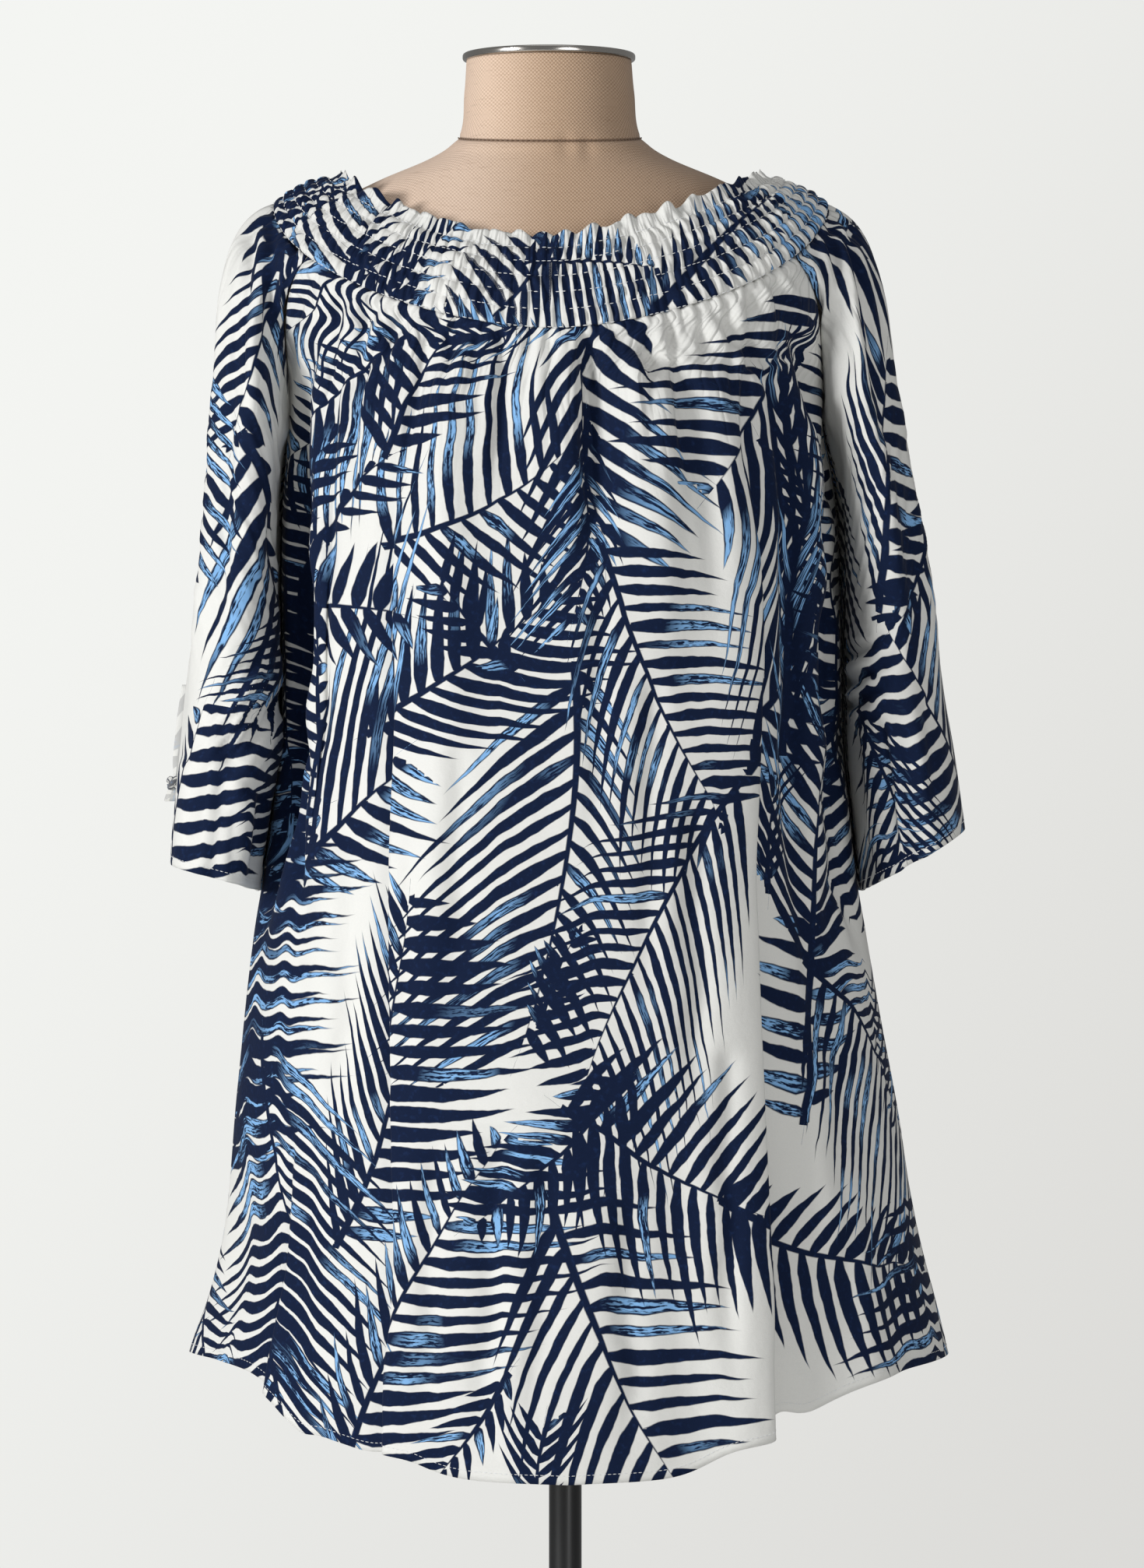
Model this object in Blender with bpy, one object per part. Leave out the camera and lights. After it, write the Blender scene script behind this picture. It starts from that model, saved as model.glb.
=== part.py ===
"""A smocked tunic top worn by a limbless dress form on a round stand.

Metres, +Z up, origin on the floor under the pole. The garment's back faces -Y and its right-hand
side, seen from behind, is +X. Every cloth piece is a thin wall: a grid of points on its outer face,
worked out from a few sections, with a second grid one cloth thickness further in.
"""

import math
from collections import namedtuple

import bmesh
import bpy
from mathutils import Vector

# ---- Shared sizes -------------------------------------------------------------------------------
CLOTH = 0.0012            # wall of a single layer of cloth
SEAM = 0.0003             # gap between two pieces that meet
LEAN = -0.0118            # sideways lean of the whole figure, metres for each metre of height
LEAN_FROM = 0.60          # height at which the leaning centre line crosses the pole's axis

# ---- Smocked neckband ---------------------------------------------------------------------------
GATHERS = 110             # cords of gathered cloth all round the neck
STITCH_ROWS = 6           # rows of elastic shirring, the last one on the band's lower edge
HEADING = 0.17            # part of the band's depth that stands free above the first row
PUFF_HEIGHT = 0.0034      # how far a gather stands up midway between two rows
ROW_HEIGHT = 0.0014       # how far it stands up where a row holds it down
HOLLOW_HEIGHT = 0.0004    # height of the hollow between two gathers
LAST_ROW_HEIGHT = 0.0008  # the same on the lower edge, which the panels meet
WANDER = 0.35             # how far a gather strays sideways, in columns of points
CROWN_OUT = 0.0020        # how far the band bows outward between its two edges
CROWN_UP = 0.0032         # how far it bows upward there
BAND_WALL = 0.0018        # plain cloth and elastic behind the gathers

# A half of the figure: which way it faces, then the depth and height of the band's two edges there.
Half = namedtuple("Half", "facing neck_depth neck_z band_depth band_z")
BACK = Half(facing=-1, neck_depth=0.104, neck_z=1.3680, band_depth=0.131, band_z=1.3090)
FRONT = Half(facing=1, neck_depth=0.098, neck_z=1.3480, band_depth=0.127, band_z=1.2880)
NECK_HALF_WIDTH = 0.1335
NECK_SHOULDER_Z = 1.4135
BAND_HALF_WIDTH = 0.1765
BAND_SHOULDER_Z = 1.3970
NECK_ROUNDNESS = 0.85     # 1 is an ellipse, less is boxier
BAND_ROUNDNESS = 0.80
NECK_RISE_RIGHT = 1.5     # how late the neck edge rises towards a shoulder
NECK_RISE_LEFT = 2.3
BAND_RISE = 0.85          # how early the lower edge does
ARMHOLE_AT = math.radians(29.0)   # angle round the band where body and sleeve part
SHOULDER_TILT = 0.40      # how much flatter than the band the cloth leaves it at a shoulder
DROP_TILT = -0.60         # and how much steeper at front and back

# ---- Body panels --------------------------------------------------------------------------------
UNDERARM_Z = 1.262
PANEL_COLUMNS = 34        # evenly spaced columns, besides those that follow the steps
STEP_COLUMNS = (-1.7, -0.7, 0.3, 1.2)   # extra columns beside a step, in widths of the step
COLUMN_ROOM = 0.4         # an even column nearer than this to an extra one is left out, in columns
YOKE_ROWS = 5             # rows between the band and the underarm
SKIRT_ROWS = 11           # rows between the underarm and the hem
ROUNDNESS = 0.85

# shift is how far the section's middle lies from the leaning centre line.
Section = namedtuple("Section", "z half_width back front shift")
BODY_SECTIONS = (
    Section(1.262, 0.1700, 0.1400, 0.1480, 0.0020),
    Section(1.200, 0.1770, 0.1440, 0.1540, 0.0040),
    Section(1.100, 0.1790, 0.1500, 0.1560, 0.0040),
    Section(1.040, 0.1810, 0.1530, 0.1560, 0.0030),
    Section(0.970, 0.1885, 0.1570, 0.1570, 0.0010),
    Section(0.930, 0.1955, 0.1580, 0.1575, 0.0010),
    Section(0.830, 0.2100, 0.1610, 0.1590, 0.0027),
    Section(0.746, 0.2215, 0.1640, 0.1620, 0.0052),
    Section(0.700, 0.2320, 0.1660, 0.1640, 0.0050),
    Section(0.660, 0.2435, 0.1680, 0.1660, 0.0022),
    Section(0.580, 0.2640, 0.1720, 0.1700, 0.0015),
)

# The curved hem: how much of its rise it has at each share of the panel's half width.
HEM_SIDE_Z = 0.6620
HEM_CENTRE_Z = {-1: 0.5960, 1: 0.6030}
HemRow = namedtuple("HemRow", "z rise")
HEM_ROWS = (HemRow(0.00, 0.00), HemRow(0.27, 0.06), HemRow(0.45, 0.24), HemRow(0.55, 0.46),
            HemRow(0.65, 0.68), HemRow(0.80, 0.90), HemRow(1.00, 1.00))
# Where the back's folds end higher or lower than the plain hem.
HemLift = namedtuple("HemLift", "place lift reach")
BACK_HEM_LIFTS = (HemLift(0.348, 0.0140, 0.024), HemLift(0.395, 0.0080, 0.028),
                  HemLift(0.607, 0.0070, 0.030), HemLift(0.703, -0.0035, 0.014),
                  HemLift(0.715, -0.0140, 0.070), HemLift(0.751, 0.0060, 0.014))

# Folds that hang in a panel. Places run from 0 at the right side seam to 1 at the left one.
# A ridge or a trough has a width; a step lifts everything beyond its place and keeps it lifted,
# and its edge laps sideways over the lower side.
Fold = namedtuple("Fold", "place_top place_hem lift width z_begin z_full z_fade z_end")
BACK_FOLDS = (
    Fold(0.468, 0.468, -0.0130, 0.020, 1.312, 1.285, 1.240, 1.120),
    Fold(0.410, 0.415, 0.0045, 0.022, 1.315, 1.280, 1.200, 1.050),
    Fold(0.347, 0.370, -0.0060, 0.018, 1.320, 1.290, 1.220, 1.080),
    Fold(0.548, 0.540, -0.0050, 0.018, 1.312, 1.290, 1.260, 1.180),
    Fold(0.602, 0.580, 0.0045, 0.022, 1.312, 1.270, 1.150, 0.900),
    Fold(0.792, 0.790, -0.0080, 0.020, 1.340, 1.270, 1.100, 0.850),
    Fold(0.205, 0.230, -0.0080, 0.022, 1.340, 1.270, 1.000, 0.750),
    Fold(0.520, 0.515, 0.0060, 0.035, 0.900, 0.760, 0.600, 0.500),
    Fold(0.430, 0.420, -0.0060, 0.032, 0.860, 0.720, 0.600, 0.500),
    Fold(0.250, 0.230, 0.0080, 0.040, 0.900, 0.740, 0.600, 0.500),
    Fold(0.098, 0.098, -0.0160, 0.026, 1.330, 1.240, 1.000, 0.900),
    Fold(0.900, 0.900, -0.0140, 0.026, 1.330, 1.240, 1.000, 0.900),
)
BACK_STEPS = (
    Fold(0.288, 0.366, 0.0180, 0.009, 1.310, 1.100, 0.600, 0.500),
    Fold(0.670, 0.615, -0.0150, 0.009, 1.300, 1.100, 0.600, 0.500),
    Fold(0.815, 0.757, -0.0150, 0.009, 0.840, 0.700, 0.600, 0.500),
)
FRONT_FOLDS = (
    Fold(0.500, 0.500, -0.0100, 0.022, 1.300, 1.270, 1.220, 1.100),
    Fold(0.425, 0.415, 0.0050, 0.022, 1.300, 1.260, 1.200, 1.050),
    Fold(0.575, 0.590, 0.0050, 0.022, 1.300, 1.260, 1.200, 1.050),
    Fold(0.230, 0.260, -0.0080, 0.022, 1.330, 1.260, 1.050, 0.800),
    Fold(0.770, 0.750, -0.0080, 0.022, 1.330, 1.260, 1.050, 0.800),
    Fold(0.500, 0.490, 0.0080, 0.040, 0.950, 0.760, 0.600, 0.500),
)
FRONT_STEPS = (
    Fold(0.320, 0.360, 0.0150, 0.009, 1.270, 1.050, 0.600, 0.500),
    Fold(0.690, 0.650, -0.0150, 0.009, 1.270, 1.050, 0.600, 0.500),
)
STEP_LAP = 0.55           # sideways lap of a step's edge, as a share of its lift
STEP_CREST = 0.8          # where that edge lies, in widths of the step
FOLDS_GROW = 0.62         # share of the drop to the underarm over which folds come out of the band
SEAM_CALM = 0.10          # share of a panel's width beside a side seam over which they fade

# ---- Sleeves ------------------------------------------------------------------------------------
SLEEVE_COLUMNS = 26
CAP_ROWS = 5              # rows between the band and the underarm
ARM_ROWS = 9              # rows between the underarm and the sleeve's hem
SLEEVE_ROUNDNESS = 0.90
SLEEVE_CLEARANCE = 0.0025  # from the body panels it hangs beside
SLEEVE_HUG = 0.0100        # how far its inner front leans back round the body's side
HUG_DEPTH = 0.0500         # depth over which that lean grows
UNDERARM_BLEND = 0.12      # share of the arm's length over which both of these grow
ARMHOLE_GAP = 0.00042      # how far the sleeve stands clear of the body at the underarm
SLEEVE_SEAM_CALM = 0.15    # share of the sleeve's width beside its seam over which folds fade
SLEEVE_FOLDS_GROW = 0.50   # share of the cap over which they grow
SLEEVE_INNER_HEM_Z = 0.9570

# centre_x and half_x are measured from the leaning centre line; half_y is half the depth.
SleeveSection = namedtuple("SleeveSection", "z centre_x half_x centre_y half_y")
RIGHT_SLEEVE = (
    SleeveSection(1.262, 0.1980, 0.0260, 0.000, 0.078),
    SleeveSection(1.204, 0.2085, 0.0245, -0.002, 0.081),
    SleeveSection(1.146, 0.2135, 0.0280, -0.003, 0.083),
    SleeveSection(1.085, 0.2155, 0.0325, -0.002, 0.084),
    SleeveSection(1.040, 0.2205, 0.0350, 0.000, 0.086),
    SleeveSection(0.955, 0.2290, 0.0380, 0.002, 0.090),
)
LEFT_SLEEVE = (
    SleeveSection(1.262, 0.1935, 0.0255, 0.000, 0.078),
    SleeveSection(1.204, 0.1960, 0.0275, -0.002, 0.081),
    SleeveSection(1.146, 0.2000, 0.0285, -0.003, 0.083),
    SleeveSection(1.085, 0.2040, 0.0345, -0.002, 0.084),
    SleeveSection(1.040, 0.2090, 0.0350, 0.000, 0.086),
    SleeveSection(0.955, 0.2190, 0.0330, 0.002, 0.090),
)
# Places run round the sleeve from 0 at the underarm, past the back and the outside, back to 1.
SLEEVE_FOLDS = (
    Fold(0.300, 0.330, -0.0050, 0.030, 1.370, 1.300, 1.180, 1.080),
    Fold(0.410, 0.400, 0.0040, 0.030, 1.380, 1.320, 1.150, 1.050),
    Fold(0.600, 0.620, -0.0050, 0.035, 1.380, 1.300, 1.150, 1.050),
    Fold(0.740, 0.720, 0.0040, 0.030, 1.360, 1.300, 1.150, 1.050),
    Fold(0.240, 0.250, -0.0060, 0.028, 1.090, 1.020, 0.940, 0.900),
    Fold(0.780, 0.770, -0.0060, 0.030, 1.090, 1.020, 0.940, 0.900),
)
# spread is how far a sleeve still widens, for each unit down, where it reaches the underarm.
Arm = namedtuple("Arm", "side sections hem_outer_z spread")
RIGHT = Arm(side=1, sections=RIGHT_SLEEVE, hem_outer_z=0.9980, spread=0.32)
LEFT = Arm(side=-1, sections=LEFT_SLEEVE, hem_outer_z=0.9760, spread=0.18)

# ---- Sleeve ties: a strap that ends in a small knot ---------------------------------------------
TieRow = namedtuple("TieRow", "drop out half_width half_thickness")
TIE_ROWS = (
    TieRow(0.000, 0.0000, 0.0042, 0.0008),
    TieRow(0.012, 0.0000, 0.0045, 0.0008),
    TieRow(0.034, 0.0000, 0.0045, 0.0008),
    TieRow(0.047, 0.0002, 0.0036, 0.0012),
    TieRow(0.056, 0.0012, 0.0026, 0.0020),
    TieRow(0.061, 0.0022, 0.0052, 0.0044),
    TieRow(0.067, 0.0026, 0.0058, 0.0050),
    TieRow(0.072, 0.0028, 0.0044, 0.0036),
    TieRow(0.076, 0.0032, 0.0056, 0.0022),
)
TIE_SIDES = 12
# x is measured from the leaning centre line at the top; slope is how the strap runs outward below.
TiePlace = namedtuple("TiePlace", "side top_z x y slope")
TIES = {
    "tie_left": TiePlace(side=-1, top_z=1.090, x=0.2388, y=0.048, slope=0.13),
    "tie_right": TiePlace(side=1, top_z=1.090, x=0.2425, y=0.066, slope=0.18),
}

# ---- Dress form, its neck plate and its stand ---------------------------------------------------
FORM_COLUMNS = 32
FORM_ROUNDNESS = 0.94
FORM_SECTIONS = (
    Section(0.8000, 0.1480, 0.1020, 0.1000, 0.0),
    Section(0.8300, 0.1580, 0.1120, 0.1080, 0.0),
    Section(0.8800, 0.1620, 0.1180, 0.1090, 0.0),
    Section(0.9600, 0.1500, 0.1060, 0.1000, 0.0),
    Section(1.0400, 0.1270, 0.0860, 0.0960, 0.0),
    Section(1.1200, 0.1340, 0.0920, 0.1120, 0.0),
    Section(1.2000, 0.1480, 0.1060, 0.1300, 0.0),
    Section(1.2600, 0.1560, 0.1150, 0.1200, 0.0),
    Section(1.3100, 0.1640, 0.1140, 0.0980, 0.0),
    Section(1.3500, 0.1680, 0.1010, 0.0780, 0.0),
    Section(1.3800, 0.1620, 0.0870, 0.0640, 0.0),
    Section(1.3970, 0.1400, 0.0770, 0.0570, 0.0),
    Section(1.4120, 0.1110, 0.0680, 0.0540, 0.0),
    Section(1.4270, 0.0760, 0.0600, 0.0530, 0.0),
    Section(1.4395, 0.0590, 0.0565, 0.0535, 0.0),
    Section(1.4700, 0.0545, 0.0535, 0.0530, 0.0),
    Section(1.4895, 0.0530, 0.0525, 0.0525, 0.0),
)
PLATE_RADIUS = 0.0555
PLATE_THICKNESS = 0.0045
POLE_RADIUS = 0.0105
BASE_RADIUS = 0.1900
BASE_THICKNESS = 0.0080
HUB_RADIUS = 0.0240
HUB_HEIGHT = 0.0300
EDGE_ROUND = 0.0012
TURNED_SIDES = 40

# ---- Colours ------------------------------------------------------------------------------------
Finish = namedtuple("Finish", "colour roughness metallic")
PRINTED_CLOTH = Finish((0.62, 0.66, 0.72), 0.85, 0.0)
LINEN = Finish((0.52, 0.38, 0.28), 0.90, 0.0)
POLISHED_STEEL = Finish((0.80, 0.80, 0.82), 0.12, 1.0)
BLACK_PAINT = Finish((0.015, 0.015, 0.017), 0.25, 0.0)


# ---- Small helpers ------------------------------------------------------------------------------
def power(value, exponent):
    """A power that keeps the sign, for rounded boxes."""
    return math.copysign(abs(value) ** exponent, value)


def mix(low, high, part):
    return low + (high - low) * part


def smooth(part):
    part = min(1.0, max(0.0, part))
    return part * part * (3.0 - 2.0 * part)


def hermite(start, start_slope, end, end_slope, part):
    """The smooth cubic between two values, of numbers or of points."""
    part2, part3 = part * part, part ** 3
    return ((2 * part3 - 3 * part2 + 1) * start + (part3 - 2 * part2 + part) * start_slope
            + (3 * part2 - 2 * part3) * end + (part3 - part2) * end_slope)


def lean_x(z):
    return LEAN * (z - LEAN_FROM)


def read_sections(sections, z):
    """The section at height z, on a smooth curve through the table's rows."""
    rows = sorted(sections, key=lambda row: row.z)
    z = min(max(z, rows[0].z), rows[-1].z)
    at = max(i for i in range(len(rows) - 1) if rows[i].z <= z)
    before, low, high, after = (rows[min(max(at + step, 0), len(rows) - 1)] for step in (-1, 0, 1, 2))
    run = high.z - low.z
    values = []
    for p0, p1, p2, p3 in zip(before, low, high, after):
        slope_low = (p2 - p0) / (high.z - before.z) * run
        slope_high = (p3 - p1) / (after.z - low.z) * run
        values.append(hermite(p1, slope_low, p2, slope_high, (z - low.z) / run))
    return type(low)(*values)


def curve_between(start, start_way, end, end_way, part):
    """A point on the smooth curve that leaves start along start_way and reaches end along end_way."""
    run = (end - start).length
    return hermite(start, run * start_way, end, run * end_way, part)


def fold_strength(fold, z):
    """0 above and below a fold, 1 where it is at its fullest."""
    grown = smooth((fold.z_begin - z) / (fold.z_begin - fold.z_full))
    faded = smooth((fold.z_fade - z) / (fold.z_fade - fold.z_end))
    return grown * (1.0 - faded)


def fold_push(folds, steps, place, z, fallen):
    """How far the folds push a panel out, and along its width towards place 1, at one point.

    fallen is 0 where the folds' places are those of their tops and 1 at the hem.
    """
    lift = lap = 0.0
    for fold in folds:
        offset = (place - mix(fold.place_top, fold.place_hem, fallen)) / fold.width
        lift += fold.lift * fold_strength(fold, z) * math.exp(-offset * offset)
    for step in steps:
        offset = (place - mix(step.place_top, step.place_hem, fallen)) / step.width
        height = step.lift * fold_strength(step, z)
        lift += 0.5 * height * (1.0 + math.tanh(offset))
        crest = offset - math.copysign(STEP_CREST, step.lift)
        lap -= STEP_LAP * height * math.exp(-crest * crest)
    return lift, lap


# ---- Forms of the garment -----------------------------------------------------------------------
def neckband_point(angle, depth):
    """A point of the band's base: angle 0 at the right shoulder, 90 degrees at the back's centre."""
    along, across = math.cos(angle), math.sin(angle)
    half = BACK if across >= 0 else FRONT
    turned = abs(across)
    rise = NECK_RISE_RIGHT if along >= 0 else NECK_RISE_LEFT
    neck = Vector((NECK_HALF_WIDTH * along, half.facing * half.neck_depth * turned ** NECK_ROUNDNESS,
                   mix(half.neck_z, NECK_SHOULDER_Z, abs(along) ** rise)))
    lower = Vector((BAND_HALF_WIDTH * along, half.facing * half.band_depth * turned ** BAND_ROUNDNESS,
                    mix(half.band_z, BAND_SHOULDER_Z, (1.0 - turned) ** BAND_RISE)))
    crown = Vector((CROWN_OUT * along, CROWN_OUT * half.facing * turned, CROWN_UP))
    point = neck.lerp(lower, depth) + crown * math.sin(math.pi * min(1.0, max(0.0, depth)))
    return point + Vector((lean_x(point.z), 0.0, 0.0))


def leaving_way(angle):
    """The direction in which cloth leaves the band: out over a shoulder, down at front and back."""
    band_way = (neckband_point(angle, 1.0) - neckband_point(angle, 0.9)).normalized()
    tilt = SHOULDER_TILT * math.cos(angle) ** 2 + DROP_TILT * math.sin(angle) ** 2
    return (band_way + Vector((0.0, 0.0, tilt))).normalized()


def body_ring(facing, place, z):
    """The body's plain section: place 0 at the right side seam, 1 at the left one."""
    section = read_sections(BODY_SECTIONS, z)
    depth = section.back if facing < 0 else section.front
    angle = math.pi * place
    x = section.half_width * power(math.cos(angle), ROUNDNESS)
    y = facing * depth * abs(math.sin(angle)) ** ROUNDNESS
    return Vector((x + lean_x(z) + section.shift, y, z))


def body_reach(side, y, z):
    """How far the body reaches to one side of the centre line at depth y."""
    section = read_sections(BODY_SECTIONS, z)
    depth = section.back if y < 0 else section.front
    share = min(1.0, abs(y) / depth)
    reach = (1.0 - share ** (2.0 / ROUNDNESS)) ** (ROUNDNESS / 2.0)
    return section.half_width * reach + side * section.shift


def hem_height(facing, place):
    out = abs(math.cos(math.pi * place)) ** ROUNDNESS
    height = mix(HEM_CENTRE_Z[facing], HEM_SIDE_Z, read_sections(HEM_ROWS, out).rise)
    if facing < 0:
        for row in BACK_HEM_LIFTS:
            height += row.lift * math.exp(-((place - row.place) / row.reach) ** 2)
    return height


def panel_point(facing, place, down):
    """A body panel: down 0 at the band, 1 at the underarm and 2 at the hem."""
    folds, steps = (BACK_FOLDS, BACK_STEPS) if facing < 0 else (FRONT_FOLDS, FRONT_STEPS)
    if down <= 1.0:
        angle = -facing * mix(ARMHOLE_AT, math.pi - ARMHOLE_AT, place)
        start = neckband_point(angle, 1.0)
        end = body_ring(facing, place, UNDERARM_Z)
        point = curve_between(start, leaving_way(angle), end, Vector((0.0, 0.0, -1.0)), down)
        hold = smooth(down / FOLDS_GROW)
    else:
        z = mix(UNDERARM_Z, hem_height(facing, place), down - 1.0)
        point = body_ring(facing, place, z)
        hold = 1.0
    lift, lap = fold_push(folds, steps, place, point.z, max(0.0, down - 1.0))
    hold *= smooth(min(place, 1.0 - place) / SEAM_CALM)
    out = Vector((math.cos(math.pi * place), facing * math.sin(math.pi * place), 0.0))
    along = Vector((-math.sin(math.pi * place), facing * math.cos(math.pi * place), 0.0))
    return point + (out * lift + along * lap) * hold


def sleeve_point(arm, place, down):
    """A sleeve: down 0 at the band, 1 at the underarm and 2 at its hem."""
    turn = math.pi * (1.0 - 2.0 * place)
    outward = 0.5 - 0.5 * math.cos(2.0 * math.pi * place)
    if down <= 1.0:
        z = UNDERARM_Z
    else:
        hem_z = mix(SLEEVE_INNER_HEM_Z, arm.hem_outer_z, outward)
        z = mix(UNDERARM_Z, hem_z, down - 1.0)
    section = read_sections(arm.sections, z)
    x = section.centre_x + section.half_x * power(math.cos(turn), SLEEVE_ROUNDNESS)
    y = section.centre_y - section.half_y * power(math.sin(turn), SLEEVE_ROUNDNESS)
    if down > 1.0:
        below = smooth((down - 1.0) / UNDERARM_BLEND)
        x -= SLEEVE_HUG * max(0.0, -math.cos(turn)) * smooth(y / HUG_DEPTH) * below
        x = max(x, body_reach(arm.side, y, z) + SLEEVE_CLEARANCE * below)
    point = Vector((arm.side * x + lean_x(z), y, z))
    if down <= 1.0:
        angle = ARMHOLE_AT * (1.0 - 2.0 * place)
        if arm.side < 0:
            angle = math.pi - angle
        start = neckband_point(angle, 1.0)
        end_way = Vector((arm.side * arm.spread * outward, 0.0, -1.0))
        point = curve_between(start, leaving_way(angle), point, end_way, down)
    lift, _ = fold_push(SLEEVE_FOLDS, (), place, point.z, 0.5 * down)
    hold = smooth(min(place, 1.0 - place) / SLEEVE_SEAM_CALM) * smooth(down / SLEEVE_FOLDS_GROW)
    out = Vector((arm.side * math.cos(turn), -math.sin(turn), 0.0))
    return point + out * lift * hold + Vector((arm.side * ARMHOLE_GAP, 0.0, 0.0))


# ---- Making solids ------------------------------------------------------------------------------
def make_object(name, points, faces, finish, smooth_angle=40.0):
    mesh = bpy.data.meshes.new(name)
    mesh.from_pydata([tuple(point) for point in points], [], faces)
    shell = bmesh.new()
    shell.from_mesh(mesh)
    bmesh.ops.recalc_face_normals(shell, faces=shell.faces)
    if shell.calc_volume(signed=True) < 0:
        bmesh.ops.reverse_faces(shell, faces=shell.faces)
    shell.to_mesh(mesh)
    shell.free()
    mesh.shade_smooth()
    mesh.set_sharp_from_angle(angle=math.radians(smooth_angle))
    piece = bpy.data.objects.new(name, mesh)
    bpy.context.scene.collection.objects.link(piece)
    material = bpy.data.materials.new(name)
    material.use_nodes = True
    shader = material.node_tree.nodes["Principled BSDF"]
    shader.inputs["Base Color"].default_value = (*finish.colour, 1.0)
    shader.inputs["Roughness"].default_value = finish.roughness
    shader.inputs["Metallic"].default_value = finish.metallic
    mesh.materials.append(material)
    return piece


def grid_normals(rows, closed):
    """Outward directions of a grid whose rows run down and whose columns run round."""
    normals = []
    last_row, last_column = len(rows) - 1, len(rows[0]) - 1
    for i, row in enumerate(rows):
        line = []
        for j in range(len(row)):
            if closed:
                along = row[(j + 1) % len(row)] - row[j - 1]
            else:
                along = row[min(j + 1, last_column)] - row[max(j - 1, 0)]
            down = rows[min(i + 1, last_row)][j] - rows[max(i - 1, 0)][j]
            line.append(along.cross(down).normalized())
        normals.append(line)
    middle = sum((point for row in rows for point in row), Vector()) / (len(rows) * len(rows[0]))
    facing_out = sum((point - middle).dot(normal)
                     for row, line in zip(rows, normals) for point, normal in zip(row, line))
    if facing_out < 0:
        normals = [[-normal for normal in line] for line in normals]
    return normals


def draw_in(rows):
    """Moves a panel's edges back from its seams, so that pieces never touch."""
    for row in rows:
        row[0] = row[0] + (row[1] - row[0]).normalized() * SEAM
        row[-1] = row[-1] + (row[-2] - row[-1]).normalized() * SEAM
    top, second = rows[0], rows[1]
    rows[0] = [point + (below - point).normalized() * 2.0 * SEAM for point, below in zip(top, second)]
    return rows


def quad(a, b, c, d):
    """Two triangles, always cut along the same diagonal."""
    return [(a, b, c), (a, c, d)]


def make_wall(name, rows, top_normals=None):
    """A cloth panel from the points of its outer face."""
    rows = draw_in(rows)
    normals = grid_normals(rows, closed=False)
    if top_normals:
        normals[0] = top_normals
    height, width = len(rows), len(rows[0])
    outer = [point for row in rows for point in row]
    inner = [point - normal * CLOTH
             for row, line in zip(rows, normals) for point, normal in zip(row, line)]
    layer = len(outer)
    faces = []
    for i in range(height - 1):
        for j in range(width - 1):
            a, b = i * width + j, (i + 1) * width + j
            faces += quad(a, b, b + 1, a + 1)
            faces += quad(a + layer, b + layer, b + 1 + layer, a + 1 + layer)
    for j in range(width - 1):
        bottom = (height - 1) * width + j
        faces += quad(j, j + 1, j + 1 + layer, j + layer)
        faces += quad(bottom, bottom + 1, bottom + 1 + layer, bottom + layer)
    for i in range(height - 1):
        for a in (i * width, (i + 1) * width - 1):
            faces += quad(a, a + width, a + width + layer, a + layer)
    return make_object(name, outer + inner, faces, PRINTED_CLOTH)


def band_levels():
    """Heights of the band's rows of points, each with how far its gathers stand up."""
    levels = [(0.0, PUFF_HEIGHT)]
    for row in range(STITCH_ROWS):
        depth = mix(HEADING, 1.0, row / (STITCH_ROWS - 1))
        if row:
            levels.append((depth - 0.5 * (1.0 - HEADING) / (STITCH_ROWS - 1), PUFF_HEIGHT))
        levels.append((depth, ROW_HEIGHT if depth < 1.0 else LAST_ROW_HEIGHT))
    return levels


def band_normal(angle, depth):
    step = 0.01
    along = neckband_point(angle + step, depth) - neckband_point(angle - step, depth)
    down = neckband_point(angle, depth + step) - neckband_point(angle, depth - step)
    return along.cross(down).normalized()


def make_neckband(name):
    """The shirred band: gathers stand up on the outer face, the inner face is plain."""
    outer_columns = 2 * GATHERS
    outer, levels = [], band_levels()
    for level, (depth, height) in enumerate(levels):
        for column in range(outer_columns):
            strayed = column + WANDER * math.sin(level * 1.9 + column * 0.7)
            angle = 2.0 * math.pi * strayed / outer_columns
            lift = height if column % 2 == 0 else HOLLOW_HEIGHT
            outer.append(neckband_point(angle, depth) + band_normal(angle, depth) * lift)
    inner, inner_depths = [], (0.0, 0.5, 1.0)
    for depth in inner_depths:
        for gather in range(GATHERS):
            angle = 2.0 * math.pi * (gather + 0.5) / GATHERS
            inner.append(neckband_point(angle, depth) - band_normal(angle, depth) * BAND_WALL)
    start = len(outer)
    faces = ring_faces(0, len(levels), outer_columns)
    faces += ring_faces(start, len(inner_depths), GATHERS)
    faces += rim_faces(0, start)
    faces += rim_faces((len(levels) - 1) * outer_columns, start + (len(inner_depths) - 1) * GATHERS)
    return make_object(name, outer + inner, faces, PRINTED_CLOTH, 60.0)


def ring_faces(start, height, width):
    faces = []
    for i in range(height - 1):
        for j in range(width):
            a, b = start + i * width + j, start + i * width + (j + 1) % width
            faces += quad(a, b, b + width, a + width)
    return faces


def rim_faces(outer_start, inner_start):
    """Joins an edge of the gathers to the inner face, which has a column behind each hollow."""
    faces = []
    for gather in range(GATHERS):
        after = (gather + 1) % GATHERS
        hollow, next_hollow = outer_start + 2 * gather + 1, outer_start + 2 * after + 1
        crest = outer_start + 2 * after
        inner, next_inner = inner_start + gather, inner_start + after
        faces += [(hollow, crest, inner), (crest, next_inner, inner), (crest, next_hollow, next_inner)]
    return faces


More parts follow.
